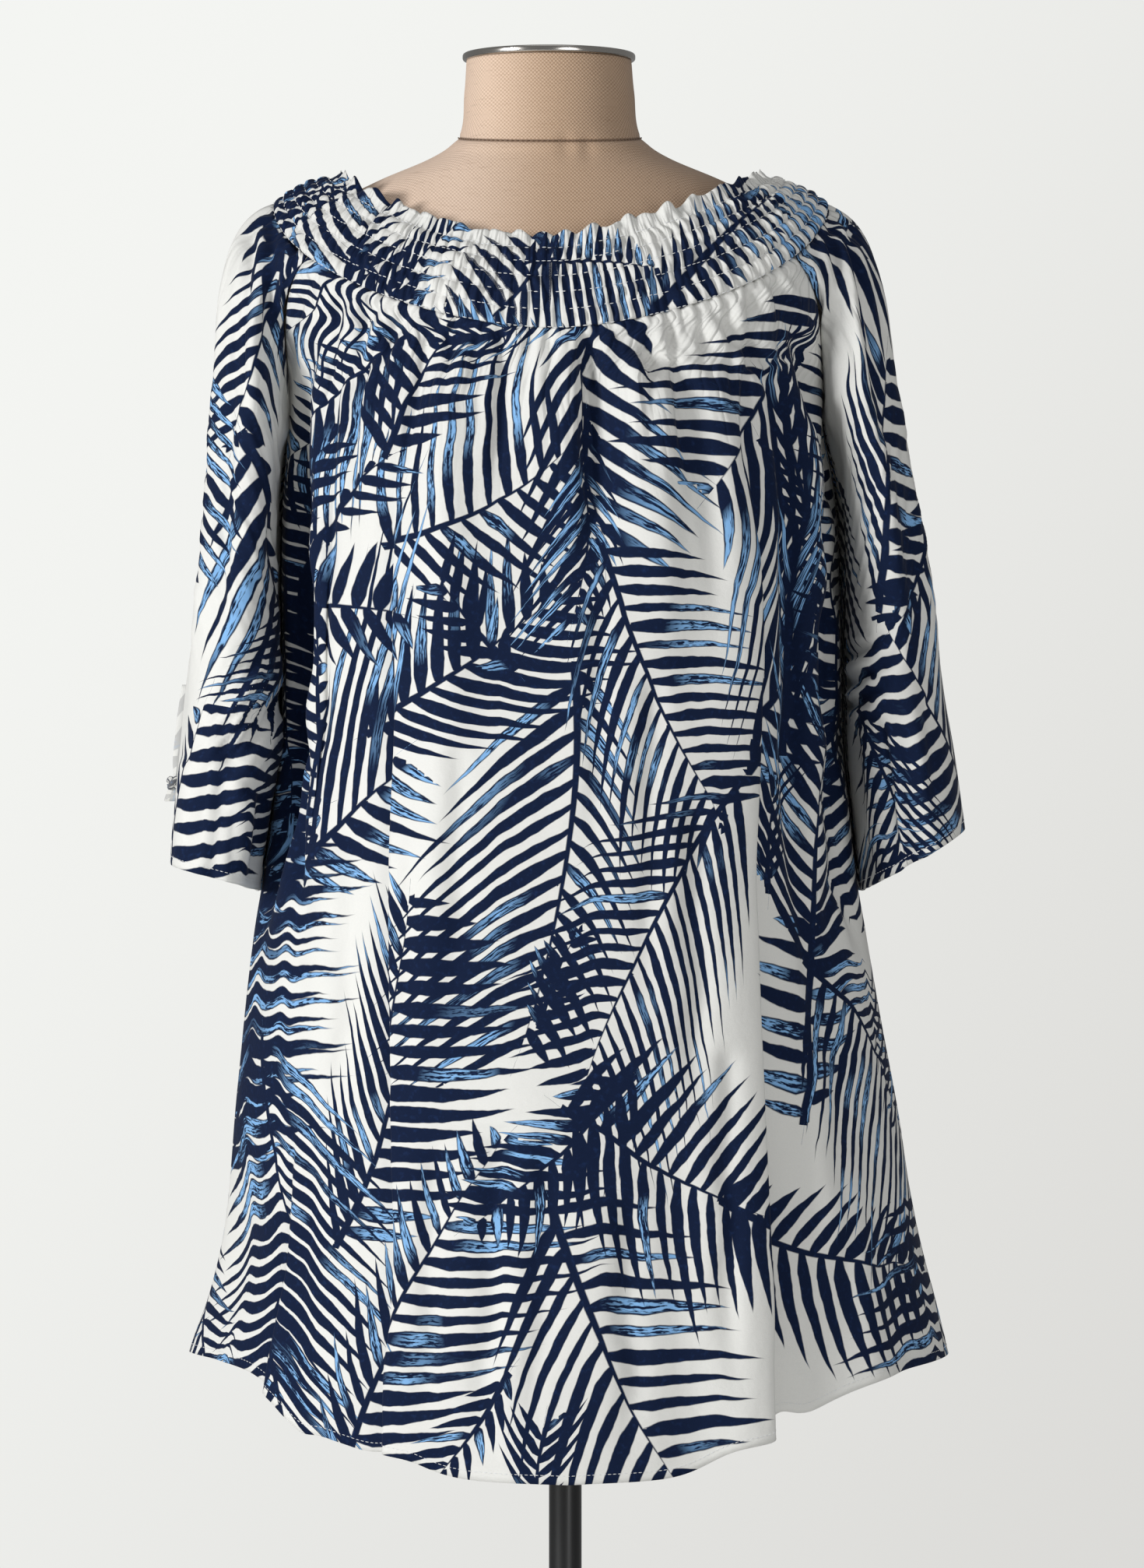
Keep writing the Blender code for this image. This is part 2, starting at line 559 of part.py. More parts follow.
def column_places(steps):
    """Where a panel's columns stand at the band: even, and closer beside each step."""
    beside = [step.place_top + step.width * offset for step in steps for offset in STEP_COLUMNS]
    room = COLUMN_ROOM / PANEL_COLUMNS
    even = [column / PANEL_COLUMNS for column in range(PANEL_COLUMNS + 1)]
    even = [place for place in even if min(abs(place - other) for other in beside) > room]
    return sorted(even + beside)


def follow_steps(place, steps, fallen):
    """Slides a column sideways as the steps drift on their way down."""
    tops = [0.0] + [step.place_top for step in steps] + [1.0]
    hems = [0.0] + [mix(step.place_top, step.place_hem, fallen) for step in steps] + [1.0]
    at = max(i for i in range(len(tops) - 1) if tops[i] <= place)
    return mix(hems[at], hems[at + 1], (place - tops[at]) / (tops[at + 1] - tops[at]))


def make_panel(name, facing):
    steps = BACK_STEPS if facing < 0 else FRONT_STEPS
    places = column_places(steps)
    downs = [row / YOKE_ROWS for row in range(YOKE_ROWS)]
    downs += [1.0 + row / SKIRT_ROWS for row in range(SKIRT_ROWS + 1)]
    rows = [[panel_point(facing, follow_steps(place, steps, max(0.0, down - 1.0)), down)
             for place in places] for down in downs]
    top = [band_normal(-facing * mix(ARMHOLE_AT, math.pi - ARMHOLE_AT, place), 1.0) for place in places]
    return make_wall(name, rows, top)


def make_sleeve(name, arm):
    places = [column / SLEEVE_COLUMNS for column in range(SLEEVE_COLUMNS + 1)]
    downs = [row / CAP_ROWS for row in range(CAP_ROWS)]
    downs += [1.0 + row / ARM_ROWS for row in range(ARM_ROWS + 1)]
    rows = [[sleeve_point(arm, place, down) for place in places] for down in downs]
    angles = [ARMHOLE_AT * (1.0 - 2.0 * place) for place in places]
    if arm.side < 0:
        angles = [math.pi - angle for angle in angles]
    return make_wall(name, rows, [band_normal(angle, 1.0) for angle in angles])


def make_loft(name, rings, finish):
    """A closed solid through rings of points, capped flat at both ends."""
    width = len(rings[0])
    points = [point for ring in rings for point in ring]
    faces = ring_faces(0, len(rings), width)
    faces.append(tuple(range(width)))
    faces.append(tuple(range(len(points) - width, len(points))))
    return make_object(name, points, faces, finish)


def make_tie(name, tie):
    rings = []
    for row in reversed(TIE_ROWS):
        z = tie.top_z - row.drop
        out = tie.x + row.out + tie.slope * row.drop
        centre = Vector((tie.side * out + lean_x(z), tie.y, z))
        ring = []
        for corner in range(TIE_SIDES):
            angle = 2.0 * math.pi * corner / TIE_SIDES
            ring.append(centre + Vector((row.half_width * math.cos(angle),
                                         row.half_thickness * math.sin(angle), 0.0)))
        rings.append(ring)
    return make_loft(name, rings, PRINTED_CLOTH)


def make_form(name):
    rings = []
    for row in FORM_SECTIONS:
        ring = []
        for column in range(FORM_COLUMNS):
            angle = 2.0 * math.pi * column / FORM_COLUMNS
            depth = row.front if math.sin(angle) >= 0 else row.back
            ring.append(Vector((row.half_width * power(math.cos(angle), FORM_ROUNDNESS) + lean_x(row.z),
                                depth * power(math.sin(angle), FORM_ROUNDNESS), row.z)))
        rings.append(ring)
    return make_loft(name, rings, LINEN)


def make_turned(name, profile, centre_x, finish):
    """A round solid from (radius, height) pairs, bottom to top."""
    rings = []
    for radius, z in profile:
        rings.append([Vector((centre_x + radius * math.cos(2.0 * math.pi * side / TURNED_SIDES),
                              radius * math.sin(2.0 * math.pi * side / TURNED_SIDES), z))
                      for side in range(TURNED_SIDES)])
    return make_loft(name, rings, finish)


def make_stand():
    """The chrome plate on the neck, the pole under the form and the round base."""
    neck_top = FORM_SECTIONS[-1].z
    plate_low = neck_top + SEAM
    plate_high = plate_low + PLATE_THICKNESS
    make_turned("neck_plate",
                ((PLATE_RADIUS - EDGE_ROUND, plate_low), (PLATE_RADIUS, plate_low + EDGE_ROUND),
                 (PLATE_RADIUS, plate_high - EDGE_ROUND), (PLATE_RADIUS - EDGE_ROUND, plate_high)),
                lean_x(neck_top), POLISHED_STEEL)
    hub_top = BASE_THICKNESS + HUB_HEIGHT
    make_turned("pole", ((POLE_RADIUS, hub_top + SEAM), (POLE_RADIUS, FORM_SECTIONS[0].z - SEAM)),
                0.0, BLACK_PAINT)
    make_turned("base",
                ((BASE_RADIUS - EDGE_ROUND, 0.0), (BASE_RADIUS, EDGE_ROUND),
                 (BASE_RADIUS, BASE_THICKNESS - EDGE_ROUND), (BASE_RADIUS - EDGE_ROUND, BASE_THICKNESS),
                 (HUB_RADIUS + EDGE_ROUND, BASE_THICKNESS + EDGE_ROUND),
                 (HUB_RADIUS, BASE_THICKNESS + 2 * EDGE_ROUND),
                 (HUB_RADIUS, hub_top - EDGE_ROUND), (HUB_RADIUS - EDGE_ROUND, hub_top)),
                0.0, BLACK_PAINT)


def main():
    for piece in list(bpy.data.objects):
        bpy.data.objects.remove(piece, do_unlink=True)
    make_panel("back_panel", BACK.facing)
    make_panel("front_panel", FRONT.facing)
    make_sleeve("sleeve_right", RIGHT)
    make_sleeve("sleeve_left", LEFT)
    make_neckband("smocked_neckband")
    for name, tie in TIES.items():
        make_tie(name, tie)
    make_form("dress_form")
    make_stand()


main()
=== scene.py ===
"""The smocked tunic top on its linen dress form: printed cloth, sewing, form and stand.

Metres, +Z up, origin on the floor under the pole. The garment's back faces -Y. Every cloth piece is
a grid of points: rows run down it, columns run round it, and place 0 to 1 is its width at any row.
"""

import itertools
import math
from collections import namedtuple

import bpy
import numpy as np
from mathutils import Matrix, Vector


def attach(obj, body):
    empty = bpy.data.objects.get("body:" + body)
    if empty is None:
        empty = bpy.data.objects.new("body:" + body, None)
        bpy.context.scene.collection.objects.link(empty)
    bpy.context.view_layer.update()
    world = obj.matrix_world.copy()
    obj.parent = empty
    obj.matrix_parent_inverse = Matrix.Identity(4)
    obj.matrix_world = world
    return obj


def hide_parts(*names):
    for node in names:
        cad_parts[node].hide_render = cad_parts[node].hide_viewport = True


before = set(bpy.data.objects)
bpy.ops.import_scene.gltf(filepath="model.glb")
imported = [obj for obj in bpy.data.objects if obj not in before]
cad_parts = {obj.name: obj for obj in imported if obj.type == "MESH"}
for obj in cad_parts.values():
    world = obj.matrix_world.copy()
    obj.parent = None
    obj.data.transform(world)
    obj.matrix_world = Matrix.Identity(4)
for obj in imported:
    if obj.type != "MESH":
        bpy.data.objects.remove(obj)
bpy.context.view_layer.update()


def records(kind, rows):
    """Rows of numbers as a table of one kind of record."""
    return tuple(kind(*row) for row in rows)


# ---- Sizes shared with the solids ---------------------------------------------------------------
SEAM = 0.0003
LEAN = -0.0118
LEAN_FROM = 0.60

GATHERS = 110
STITCH_ROWS = 6
HEADING = 0.17
CROWN_OUT = 0.0020
CROWN_UP = 0.0032
Half = namedtuple("Half", "facing neck_depth neck_z band_depth band_z")
BACK = Half(facing=-1, neck_depth=0.104, neck_z=1.3680, band_depth=0.131, band_z=1.3090)
FRONT = Half(facing=1, neck_depth=0.098, neck_z=1.3480, band_depth=0.127, band_z=1.2880)
NECK_HALF_WIDTH = 0.1335
NECK_SHOULDER_Z = 1.4135
BAND_HALF_WIDTH = 0.1765
BAND_SHOULDER_Z = 1.3970
NECK_ROUNDNESS = 0.85
BAND_ROUNDNESS = 0.80
NECK_RISE_RIGHT = 1.5
NECK_RISE_LEFT = 2.3
BAND_RISE = 0.85
ARMHOLE_AT = math.radians(29.0)
SHOULDER_TILT = 0.40
DROP_TILT = -0.60

UNDERARM_Z = 1.262
ROUNDNESS = 0.85
Section = namedtuple("Section", "z half_width back front shift")
BODY_SECTIONS = records(Section, (
    (1.262, 0.1700, 0.1400, 0.1480, 0.0020),
    (1.200, 0.1770, 0.1440, 0.1540, 0.0040),
    (1.100, 0.1790, 0.1500, 0.1560, 0.0040),
    (1.040, 0.1810, 0.1530, 0.1560, 0.0030),
    (0.970, 0.1885, 0.1570, 0.1570, 0.0010),
    (0.930, 0.1955, 0.1580, 0.1575, 0.0010),
    (0.830, 0.2100, 0.1610, 0.1590, 0.0027),
    (0.746, 0.2215, 0.1640, 0.1620, 0.0052),
    (0.700, 0.2320, 0.1660, 0.1640, 0.0050),
    (0.660, 0.2435, 0.1680, 0.1660, 0.0022),
    (0.580, 0.2640, 0.1720, 0.1700, 0.0015),
))
HEM_SIDE_Z = 0.6620
HEM_CENTRE_Z = {-1: 0.5960, 1: 0.6030}
HemRow = namedtuple("HemRow", "z rise")
HEM_ROWS = records(HemRow, ((0.00, 0.00), (0.27, 0.06), (0.45, 0.24), (0.55, 0.46),
                            (0.65, 0.68), (0.80, 0.90), (1.00, 1.00)))
HemLift = namedtuple("HemLift", "place lift reach")
BACK_HEM_LIFTS = records(HemLift, (
    (0.348, 0.0140, 0.024), (0.395, 0.0080, 0.028), (0.607, 0.0070, 0.030),
    (0.703, -0.0035, 0.014), (0.715, -0.0140, 0.070), (0.751, 0.0060, 0.014)))

# A fold's lift stands out from the plain form. A step keeps everything beyond its place lifted.
Fold = namedtuple("Fold", "place_top place_hem lift width z_begin z_full z_fade z_end")
BACK_FOLDS = records(Fold, (
    (0.468, 0.468, -0.0130, 0.020, 1.312, 1.285, 1.240, 1.120),
    (0.410, 0.415, 0.0045, 0.022, 1.315, 1.280, 1.200, 1.050),
    (0.347, 0.370, -0.0060, 0.018, 1.320, 1.290, 1.220, 1.080),
    (0.548, 0.540, -0.0050, 0.018, 1.312, 1.290, 1.260, 1.180),
    (0.602, 0.580, 0.0045, 0.022, 1.312, 1.270, 1.150, 0.900),
    (0.792, 0.790, -0.0080, 0.020, 1.340, 1.270, 1.100, 0.850),
    (0.205, 0.230, -0.0080, 0.022, 1.340, 1.270, 1.000, 0.750),
    (0.520, 0.515, 0.0060, 0.035, 0.900, 0.760, 0.600, 0.500),
    (0.430, 0.420, -0.0060, 0.032, 0.860, 0.720, 0.600, 0.500),
    (0.250, 0.230, 0.0080, 0.040, 0.900, 0.740, 0.600, 0.500),
    (0.098, 0.098, -0.0160, 0.026, 1.330, 1.240, 1.000, 0.900),
    (0.900, 0.900, -0.0140, 0.026, 1.330, 1.240, 1.000, 0.900),
))
BACK_STEPS = records(Fold, (
    (0.288, 0.366, 0.0180, 0.009, 1.310, 1.100, 0.600, 0.500),
    (0.670, 0.615, -0.0150, 0.009, 1.300, 1.100, 0.600, 0.500),
    (0.815, 0.757, -0.0150, 0.009, 0.840, 0.700, 0.600, 0.500),
))
FRONT_FOLDS = records(Fold, (
    (0.500, 0.500, -0.0100, 0.022, 1.300, 1.270, 1.220, 1.100),
    (0.425, 0.415, 0.0050, 0.022, 1.300, 1.260, 1.200, 1.050),
    (0.575, 0.590, 0.0050, 0.022, 1.300, 1.260, 1.200, 1.050),
    (0.230, 0.260, -0.0080, 0.022, 1.330, 1.260, 1.050, 0.800),
    (0.770, 0.750, -0.0080, 0.022, 1.330, 1.260, 1.050, 0.800),
    (0.500, 0.490, 0.0080, 0.040, 0.950, 0.760, 0.600, 0.500),
))
FRONT_STEPS = records(Fold, (
    (0.320, 0.360, 0.0150, 0.009, 1.270, 1.050, 0.600, 0.500),
    (0.690, 0.650, -0.0150, 0.009, 1.270, 1.050, 0.600, 0.500),
))
STEP_LAP = 0.55
STEP_CREST = 0.8
FOLDS_GROW = 0.62
SEAM_CALM = 0.10

SLEEVE_ROUNDNESS = 0.90
SLEEVE_CLEARANCE = 0.0025
SLEEVE_HUG = 0.0100
HUG_DEPTH = 0.0500
UNDERARM_BLEND = 0.12
ARMHOLE_GAP = 0.00042
SLEEVE_SEAM_CALM = 0.15
SLEEVE_FOLDS_GROW = 0.50
SLEEVE_INNER_HEM_Z = 0.9570
SleeveSection = namedtuple("SleeveSection", "z centre_x half_x centre_y half_y")
RIGHT_SLEEVE = records(SleeveSection, (
    (1.262, 0.1980, 0.0260, 0.000, 0.078),
    (1.204, 0.2085, 0.0245, -0.002, 0.081),
    (1.146, 0.2135, 0.0280, -0.003, 0.083),
    (1.085, 0.2155, 0.0325, -0.002, 0.084),
    (1.040, 0.2205, 0.0350, 0.000, 0.086),
    (0.955, 0.2290, 0.0380, 0.002, 0.090),
))
LEFT_SLEEVE = records(SleeveSection, (
    (1.262, 0.1935, 0.0255, 0.000, 0.078),
    (1.204, 0.1960, 0.0275, -0.002, 0.081),
    (1.146, 0.2000, 0.0285, -0.003, 0.083),
    (1.085, 0.2040, 0.0345, -0.002, 0.084),
    (1.040, 0.2090, 0.0350, 0.000, 0.086),
    (0.955, 0.2190, 0.0330, 0.002, 0.090),
))
SLEEVE_FOLDS = records(Fold, (
    (0.300, 0.330, -0.0050, 0.030, 1.370, 1.300, 1.180, 1.080),
    (0.410, 0.400, 0.0040, 0.030, 1.380, 1.320, 1.150, 1.050),
    (0.600, 0.620, -0.0050, 0.035, 1.380, 1.300, 1.150, 1.050),
    (0.740, 0.720, 0.0040, 0.030, 1.360, 1.300, 1.150, 1.050),
    (0.240, 0.250, -0.0060, 0.028, 1.090, 1.020, 0.940, 0.900),
    (0.780, 0.770, -0.0060, 0.030, 1.090, 1.020, 0.940, 0.900),
))
Arm = namedtuple("Arm", "side sections hem_outer_z spread")
RIGHT = Arm(side=1, sections=RIGHT_SLEEVE, hem_outer_z=0.9980, spread=0.32)
LEFT = Arm(side=-1, sections=LEFT_SLEEVE, hem_outer_z=0.9760, spread=0.18)

TiePlace = namedtuple("TiePlace", "side top_z x y slope")
TIES = {
    "left": TiePlace(side=-1, top_z=1.090, x=0.2388, y=0.048, slope=0.13),
    "right": TiePlace(side=1, top_z=1.090, x=0.2425, y=0.066, slope=0.18),
}

FORM_ROUNDNESS = 0.94
FORM_SECTIONS = records(Section, (
    (0.8000, 0.1480, 0.1020, 0.1000, 0.0),
    (0.8300, 0.1580, 0.1120, 0.1080, 0.0),
    (0.8800, 0.1620, 0.1180, 0.1090, 0.0),
    (0.9600, 0.1500, 0.1060, 0.1000, 0.0),
    (1.0400, 0.1270, 0.0860, 0.0960, 0.0),
    (1.1200, 0.1340, 0.0920, 0.1120, 0.0),
    (1.2000, 0.1480, 0.1060, 0.1300, 0.0),
    (1.2600, 0.1560, 0.1150, 0.1200, 0.0),
    (1.3100, 0.1640, 0.1140, 0.0980, 0.0),
    (1.3500, 0.1680, 0.1010, 0.0780, 0.0),
    (1.3800, 0.1620, 0.0870, 0.0640, 0.0),
    (1.3970, 0.1400, 0.0770, 0.0570, 0.0),
    (1.4120, 0.1110, 0.0680, 0.0540, 0.0),
    (1.4270, 0.0760, 0.0600, 0.0530, 0.0),
    (1.4395, 0.0590, 0.0565, 0.0535, 0.0),
    (1.4700, 0.0545, 0.0535, 0.0530, 0.0),
    (1.4895, 0.0530, 0.0525, 0.0525, 0.0),
))
NECK_TOP_Z = 1.4895
PLATE_RADIUS = 0.0555
PLATE_THICKNESS = 0.0045
POLE_RADIUS = 0.0105
BASE_RADIUS = 0.1900
BASE_THICKNESS = 0.0080
HUB_RADIUS = 0.0240
HUB_HEIGHT = 0.0300


# ---- Small helpers ------------------------------------------------------------------------------
def power(value, exponent):
    return np.sign(value) * np.abs(value) ** exponent


def mix(low, high, part):
    return low + (high - low) * part


def smooth(part):
    part = np.clip(part, 0.0, 1.0)
    return part * part * (3.0 - 2.0 * part)


def bump(offset):
    """A soft hill, 1 in its middle."""
    return np.exp(-offset * offset)


def from_sides(place):
    """How far a place is from the nearer long edge of its piece."""
    return np.minimum(place, 1.0 - place)


def round_angles(count):
    """Angles all the way round, in even steps."""
    return np.linspace(0.0, 2.0 * math.pi, count, endpoint=False)


def points_of(x, y, z):
    return np.stack(np.broadcast_arrays(x, y, z), axis=-1)


def unit(vectors):
    return vectors / np.maximum(np.linalg.norm(vectors, axis=-1, keepdims=True), 1e-12)


def hermite(start, start_slope, end, end_slope, part):
    """The smooth cubic between two values, of numbers or of points."""
    part2, part3 = part ** 2, part ** 3
    return ((2 * part3 - 3 * part2 + 1) * start + (part3 - 2 * part2 + part) * start_slope
            + (3 * part2 - 2 * part3) * end + (part3 - part2) * end_slope)


def ripple(x, seed, waves=4):
    """Uneven waves about one unit long, between -1 and 1."""
    chance = np.random.default_rng(seed)
    total = 0.0
    for _ in range(waves):
        total = total + np.sin(2.0 * math.pi * (x * chance.uniform(0.62, 1.45) + chance.random()))
    return total / waves ** 0.5 / 1.6


def drift(x, y, seed):
    """Smooth unevenness over a surface, about one unit across, between -1 and 1."""
    lattice = np.random.default_rng(seed).uniform(-1.0, 1.0, (64, 64))
    low_x, low_y = np.floor(x).astype(int), np.floor(y).astype(int)
    part_x, part_y = smooth(x - low_x), smooth(y - low_y)
    rows = [mix(lattice[(low_x + i) % 64, low_y % 64], lattice[(low_x + i) % 64, (low_y + 1) % 64], part_y)
            for i in (0, 1)]
    return mix(rows[0], rows[1], part_x)


def lean_x(z):
    return LEAN * (z - LEAN_FROM)


def read_rows(table, z):
    """A table's values at heights z, on a smooth curve through its rows."""
    rows = sorted(table, key=lambda row: row.z)
    values = np.array(rows, float)
    heights = values[:, 0]
    z = np.clip(z, heights[0], heights[-1])
    low = np.clip(np.searchsorted(heights, z, side="right") - 1, 0, len(rows) - 2)
    before, high, after = np.maximum(low - 1, 0), low + 1, np.minimum(low + 2, len(rows) - 1)
    run = (heights[high] - heights[low])[..., None]
    slope_low = (values[high] - values[before]) / (heights[high] - heights[before])[..., None] * run
    slope_high = (values[after] - values[low]) / (heights[after] - heights[low])[..., None] * run
    part = (z - heights[low])[..., None] / run
    found = hermite(values[low], slope_low, values[high], slope_high, part)
    return type(rows[0])(*np.moveaxis(found, -1, 0))


# ---- Forms of the garment, as the solids have them ----------------------------------------------
def fold_strength(fold, z):
    grown = smooth((fold.z_begin - z) / (fold.z_begin - fold.z_full))
    faded = smooth((fold.z_fade - z) / (fold.z_fade - fold.z_end))
    return grown * (1.0 - faded)


def fold_push(folds, steps, place, z, fallen):
    """How far folds push the cloth out, and along its width towards place 1."""
    lift, lap = 0.0 * place, 0.0 * place
    for fold in folds:
        offset = (place - mix(fold.place_top, fold.place_hem, fallen)) / fold.width
        lift = lift + fold.lift * fold_strength(fold, z) * bump(offset)
    for step in steps:
        offset = (place - mix(step.place_top, step.place_hem, fallen)) / step.width
        height = step.lift * fold_strength(step, z)
        lift = lift + 0.5 * height * (1.0 + np.tanh(offset))
        lap = lap - STEP_LAP * height * bump(offset - math.copysign(STEP_CREST, step.lift))
    return lift, lap


def neckband_point(angle, depth):
    """A point of the band's base: angle 0 at the right shoulder, 90 degrees at the back's centre."""
    along, across = np.cos(angle), np.sin(angle)
    behind, turned = across >= 0, np.abs(across)
    half = Half(*(np.where(behind, back, front) for back, front in zip(BACK, FRONT)))
    rise = np.where(along >= 0, NECK_RISE_RIGHT, NECK_RISE_LEFT)
    neck = points_of(NECK_HALF_WIDTH * along, half.facing * half.neck_depth * turned ** NECK_ROUNDNESS,
                     mix(half.neck_z, NECK_SHOULDER_Z, np.abs(along) ** rise))
    lower = points_of(BAND_HALF_WIDTH * along, half.facing * half.band_depth * turned ** BAND_ROUNDNESS,
                      mix(half.band_z, BAND_SHOULDER_Z, (1.0 - turned) ** BAND_RISE))
    crown = points_of(CROWN_OUT * along, CROWN_OUT * half.facing * turned, CROWN_UP)
    bow = np.sin(math.pi * np.clip(depth, 0.0, 1.0))
    point = mix(neck, lower, np.asarray(depth)[..., None]) + crown * np.asarray(bow)[..., None]
    point[..., 0] += lean_x(point[..., 2])
    return point


def leaving_way(angle):
    """The direction in which cloth leaves the band: out over a shoulder, down at front and back."""
    band_way = unit(neckband_point(angle, 1.0) - neckband_point(angle, 0.9))
    tilt = SHOULDER_TILT * np.cos(angle) ** 2 + DROP_TILT * np.sin(angle) ** 2
    return unit(band_way + points_of(0.0, 0.0, tilt))


def curve_between(start, start_way, end, end_way, part):
    run = np.linalg.norm(end - start, axis=-1, keepdims=True)
    return hermite(start, run * start_way, end, run * end_way, part[..., None])


def body_ring(facing, place, z):
    section = read_rows(BODY_SECTIONS, z)
    depth = section.back if facing < 0 else section.front
    x = section.half_width * power(np.cos(math.pi * place), ROUNDNESS) + lean_x(z) + section.shift
    return points_of(x, facing * depth * np.abs(np.sin(math.pi * place)) ** ROUNDNESS, z)


def body_reach(side, y, z):
    section = read_rows(BODY_SECTIONS, z)
    share = np.minimum(1.0, np.abs(y) / np.where(y < 0, section.back, section.front))
    reach = (1.0 - share ** (2.0 / ROUNDNESS)) ** (ROUNDNESS / 2.0)
    return section.half_width * reach + side * section.shift


def hem_height(facing, place):
    out = np.abs(np.cos(math.pi * place)) ** ROUNDNESS
    height = mix(HEM_CENTRE_Z[facing], HEM_SIDE_Z, read_rows(HEM_ROWS, out).rise)
    if facing < 0:
        for row in BACK_HEM_LIFTS:
            height = height + row.lift * bump((place - row.place) / row.reach)
    return height


def panel_point(facing, place, down):
    """A body panel: down 0 at the band, 1 at the underarm and 2 at the hem."""
    folds, steps = (BACK_FOLDS, BACK_STEPS) if facing < 0 else (FRONT_FOLDS, FRONT_STEPS)
    angle = -facing * mix(ARMHOLE_AT, math.pi - ARMHOLE_AT, place)
    fall = np.array([0.0, 0.0, -1.0])
    yoke = curve_between(neckband_point(angle, 1.0), leaving_way(angle),
                         body_ring(facing, place, UNDERARM_Z + 0.0 * place), fall, np.minimum(down, 1.0))
    skirt_z = mix(UNDERARM_Z, hem_height(facing, place), np.maximum(down - 1.0, 0.0))
    point = np.where((down <= 1.0)[..., None], yoke, body_ring(facing, place, skirt_z))
    lift, lap = fold_push(folds, steps, place, point[..., 2], np.maximum(0.0, down - 1.0))
    hold = smooth(down / FOLDS_GROW) * smooth(from_sides(place) / SEAM_CALM)
    turn = math.pi * place
    out = points_of(np.cos(turn), facing * np.sin(turn), 0.0)
    along = points_of(-np.sin(turn), facing * np.cos(turn), 0.0)
    return point + out * (lift * hold)[..., None] + along * (lap * hold)[..., None]


def sleeve_point(arm, place, down):
    """A sleeve: down 0 at the band, 1 at the underarm and 2 at its hem."""
    turn = math.pi * (1.0 - 2.0 * place)
    outward = 0.5 - 0.5 * np.cos(2.0 * math.pi * place)
    z = mix(UNDERARM_Z, mix(SLEEVE_INNER_HEM_Z, arm.hem_outer_z, outward), np.maximum(down - 1.0, 0.0))
    section = read_rows(arm.sections, z)
    x = section.centre_x + section.half_x * power(np.cos(turn), SLEEVE_ROUNDNESS)
    y = section.centre_y - section.half_y * power(np.sin(turn), SLEEVE_ROUNDNESS)
    below = smooth((down - 1.0) / UNDERARM_BLEND)
    hugged = x - SLEEVE_HUG * np.maximum(0.0, -np.cos(turn)) * smooth(y / HUG_DEPTH) * below
    hugged = np.maximum(hugged, body_reach(arm.side, y, z) + SLEEVE_CLEARANCE * below)
    arm_point = points_of(arm.side * np.where(down > 1.0, hugged, x) + lean_x(z), y, z)
    angle = ARMHOLE_AT * (1.0 - 2.0 * place)
    if arm.side < 0:
        angle = math.pi - angle
    cap = curve_between(neckband_point(angle, 1.0), leaving_way(angle), arm_point,
                        points_of(arm.side * arm.spread * outward, 0.0, -1.0), np.minimum(down, 1.0))
    point = np.where((down <= 1.0)[..., None], cap, arm_point)
    lift, _ = fold_push(SLEEVE_FOLDS, (), place, point[..., 2], 0.5 * down)
    hold = smooth(from_sides(place) / SLEEVE_SEAM_CALM) * smooth(down / SLEEVE_FOLDS_GROW)
    out = points_of(arm.side * np.cos(turn), -np.sin(turn), 0.0)
    return point + out * (lift * hold)[..., None] + np.array([arm.side * ARMHOLE_GAP, 0.0, 0.0])


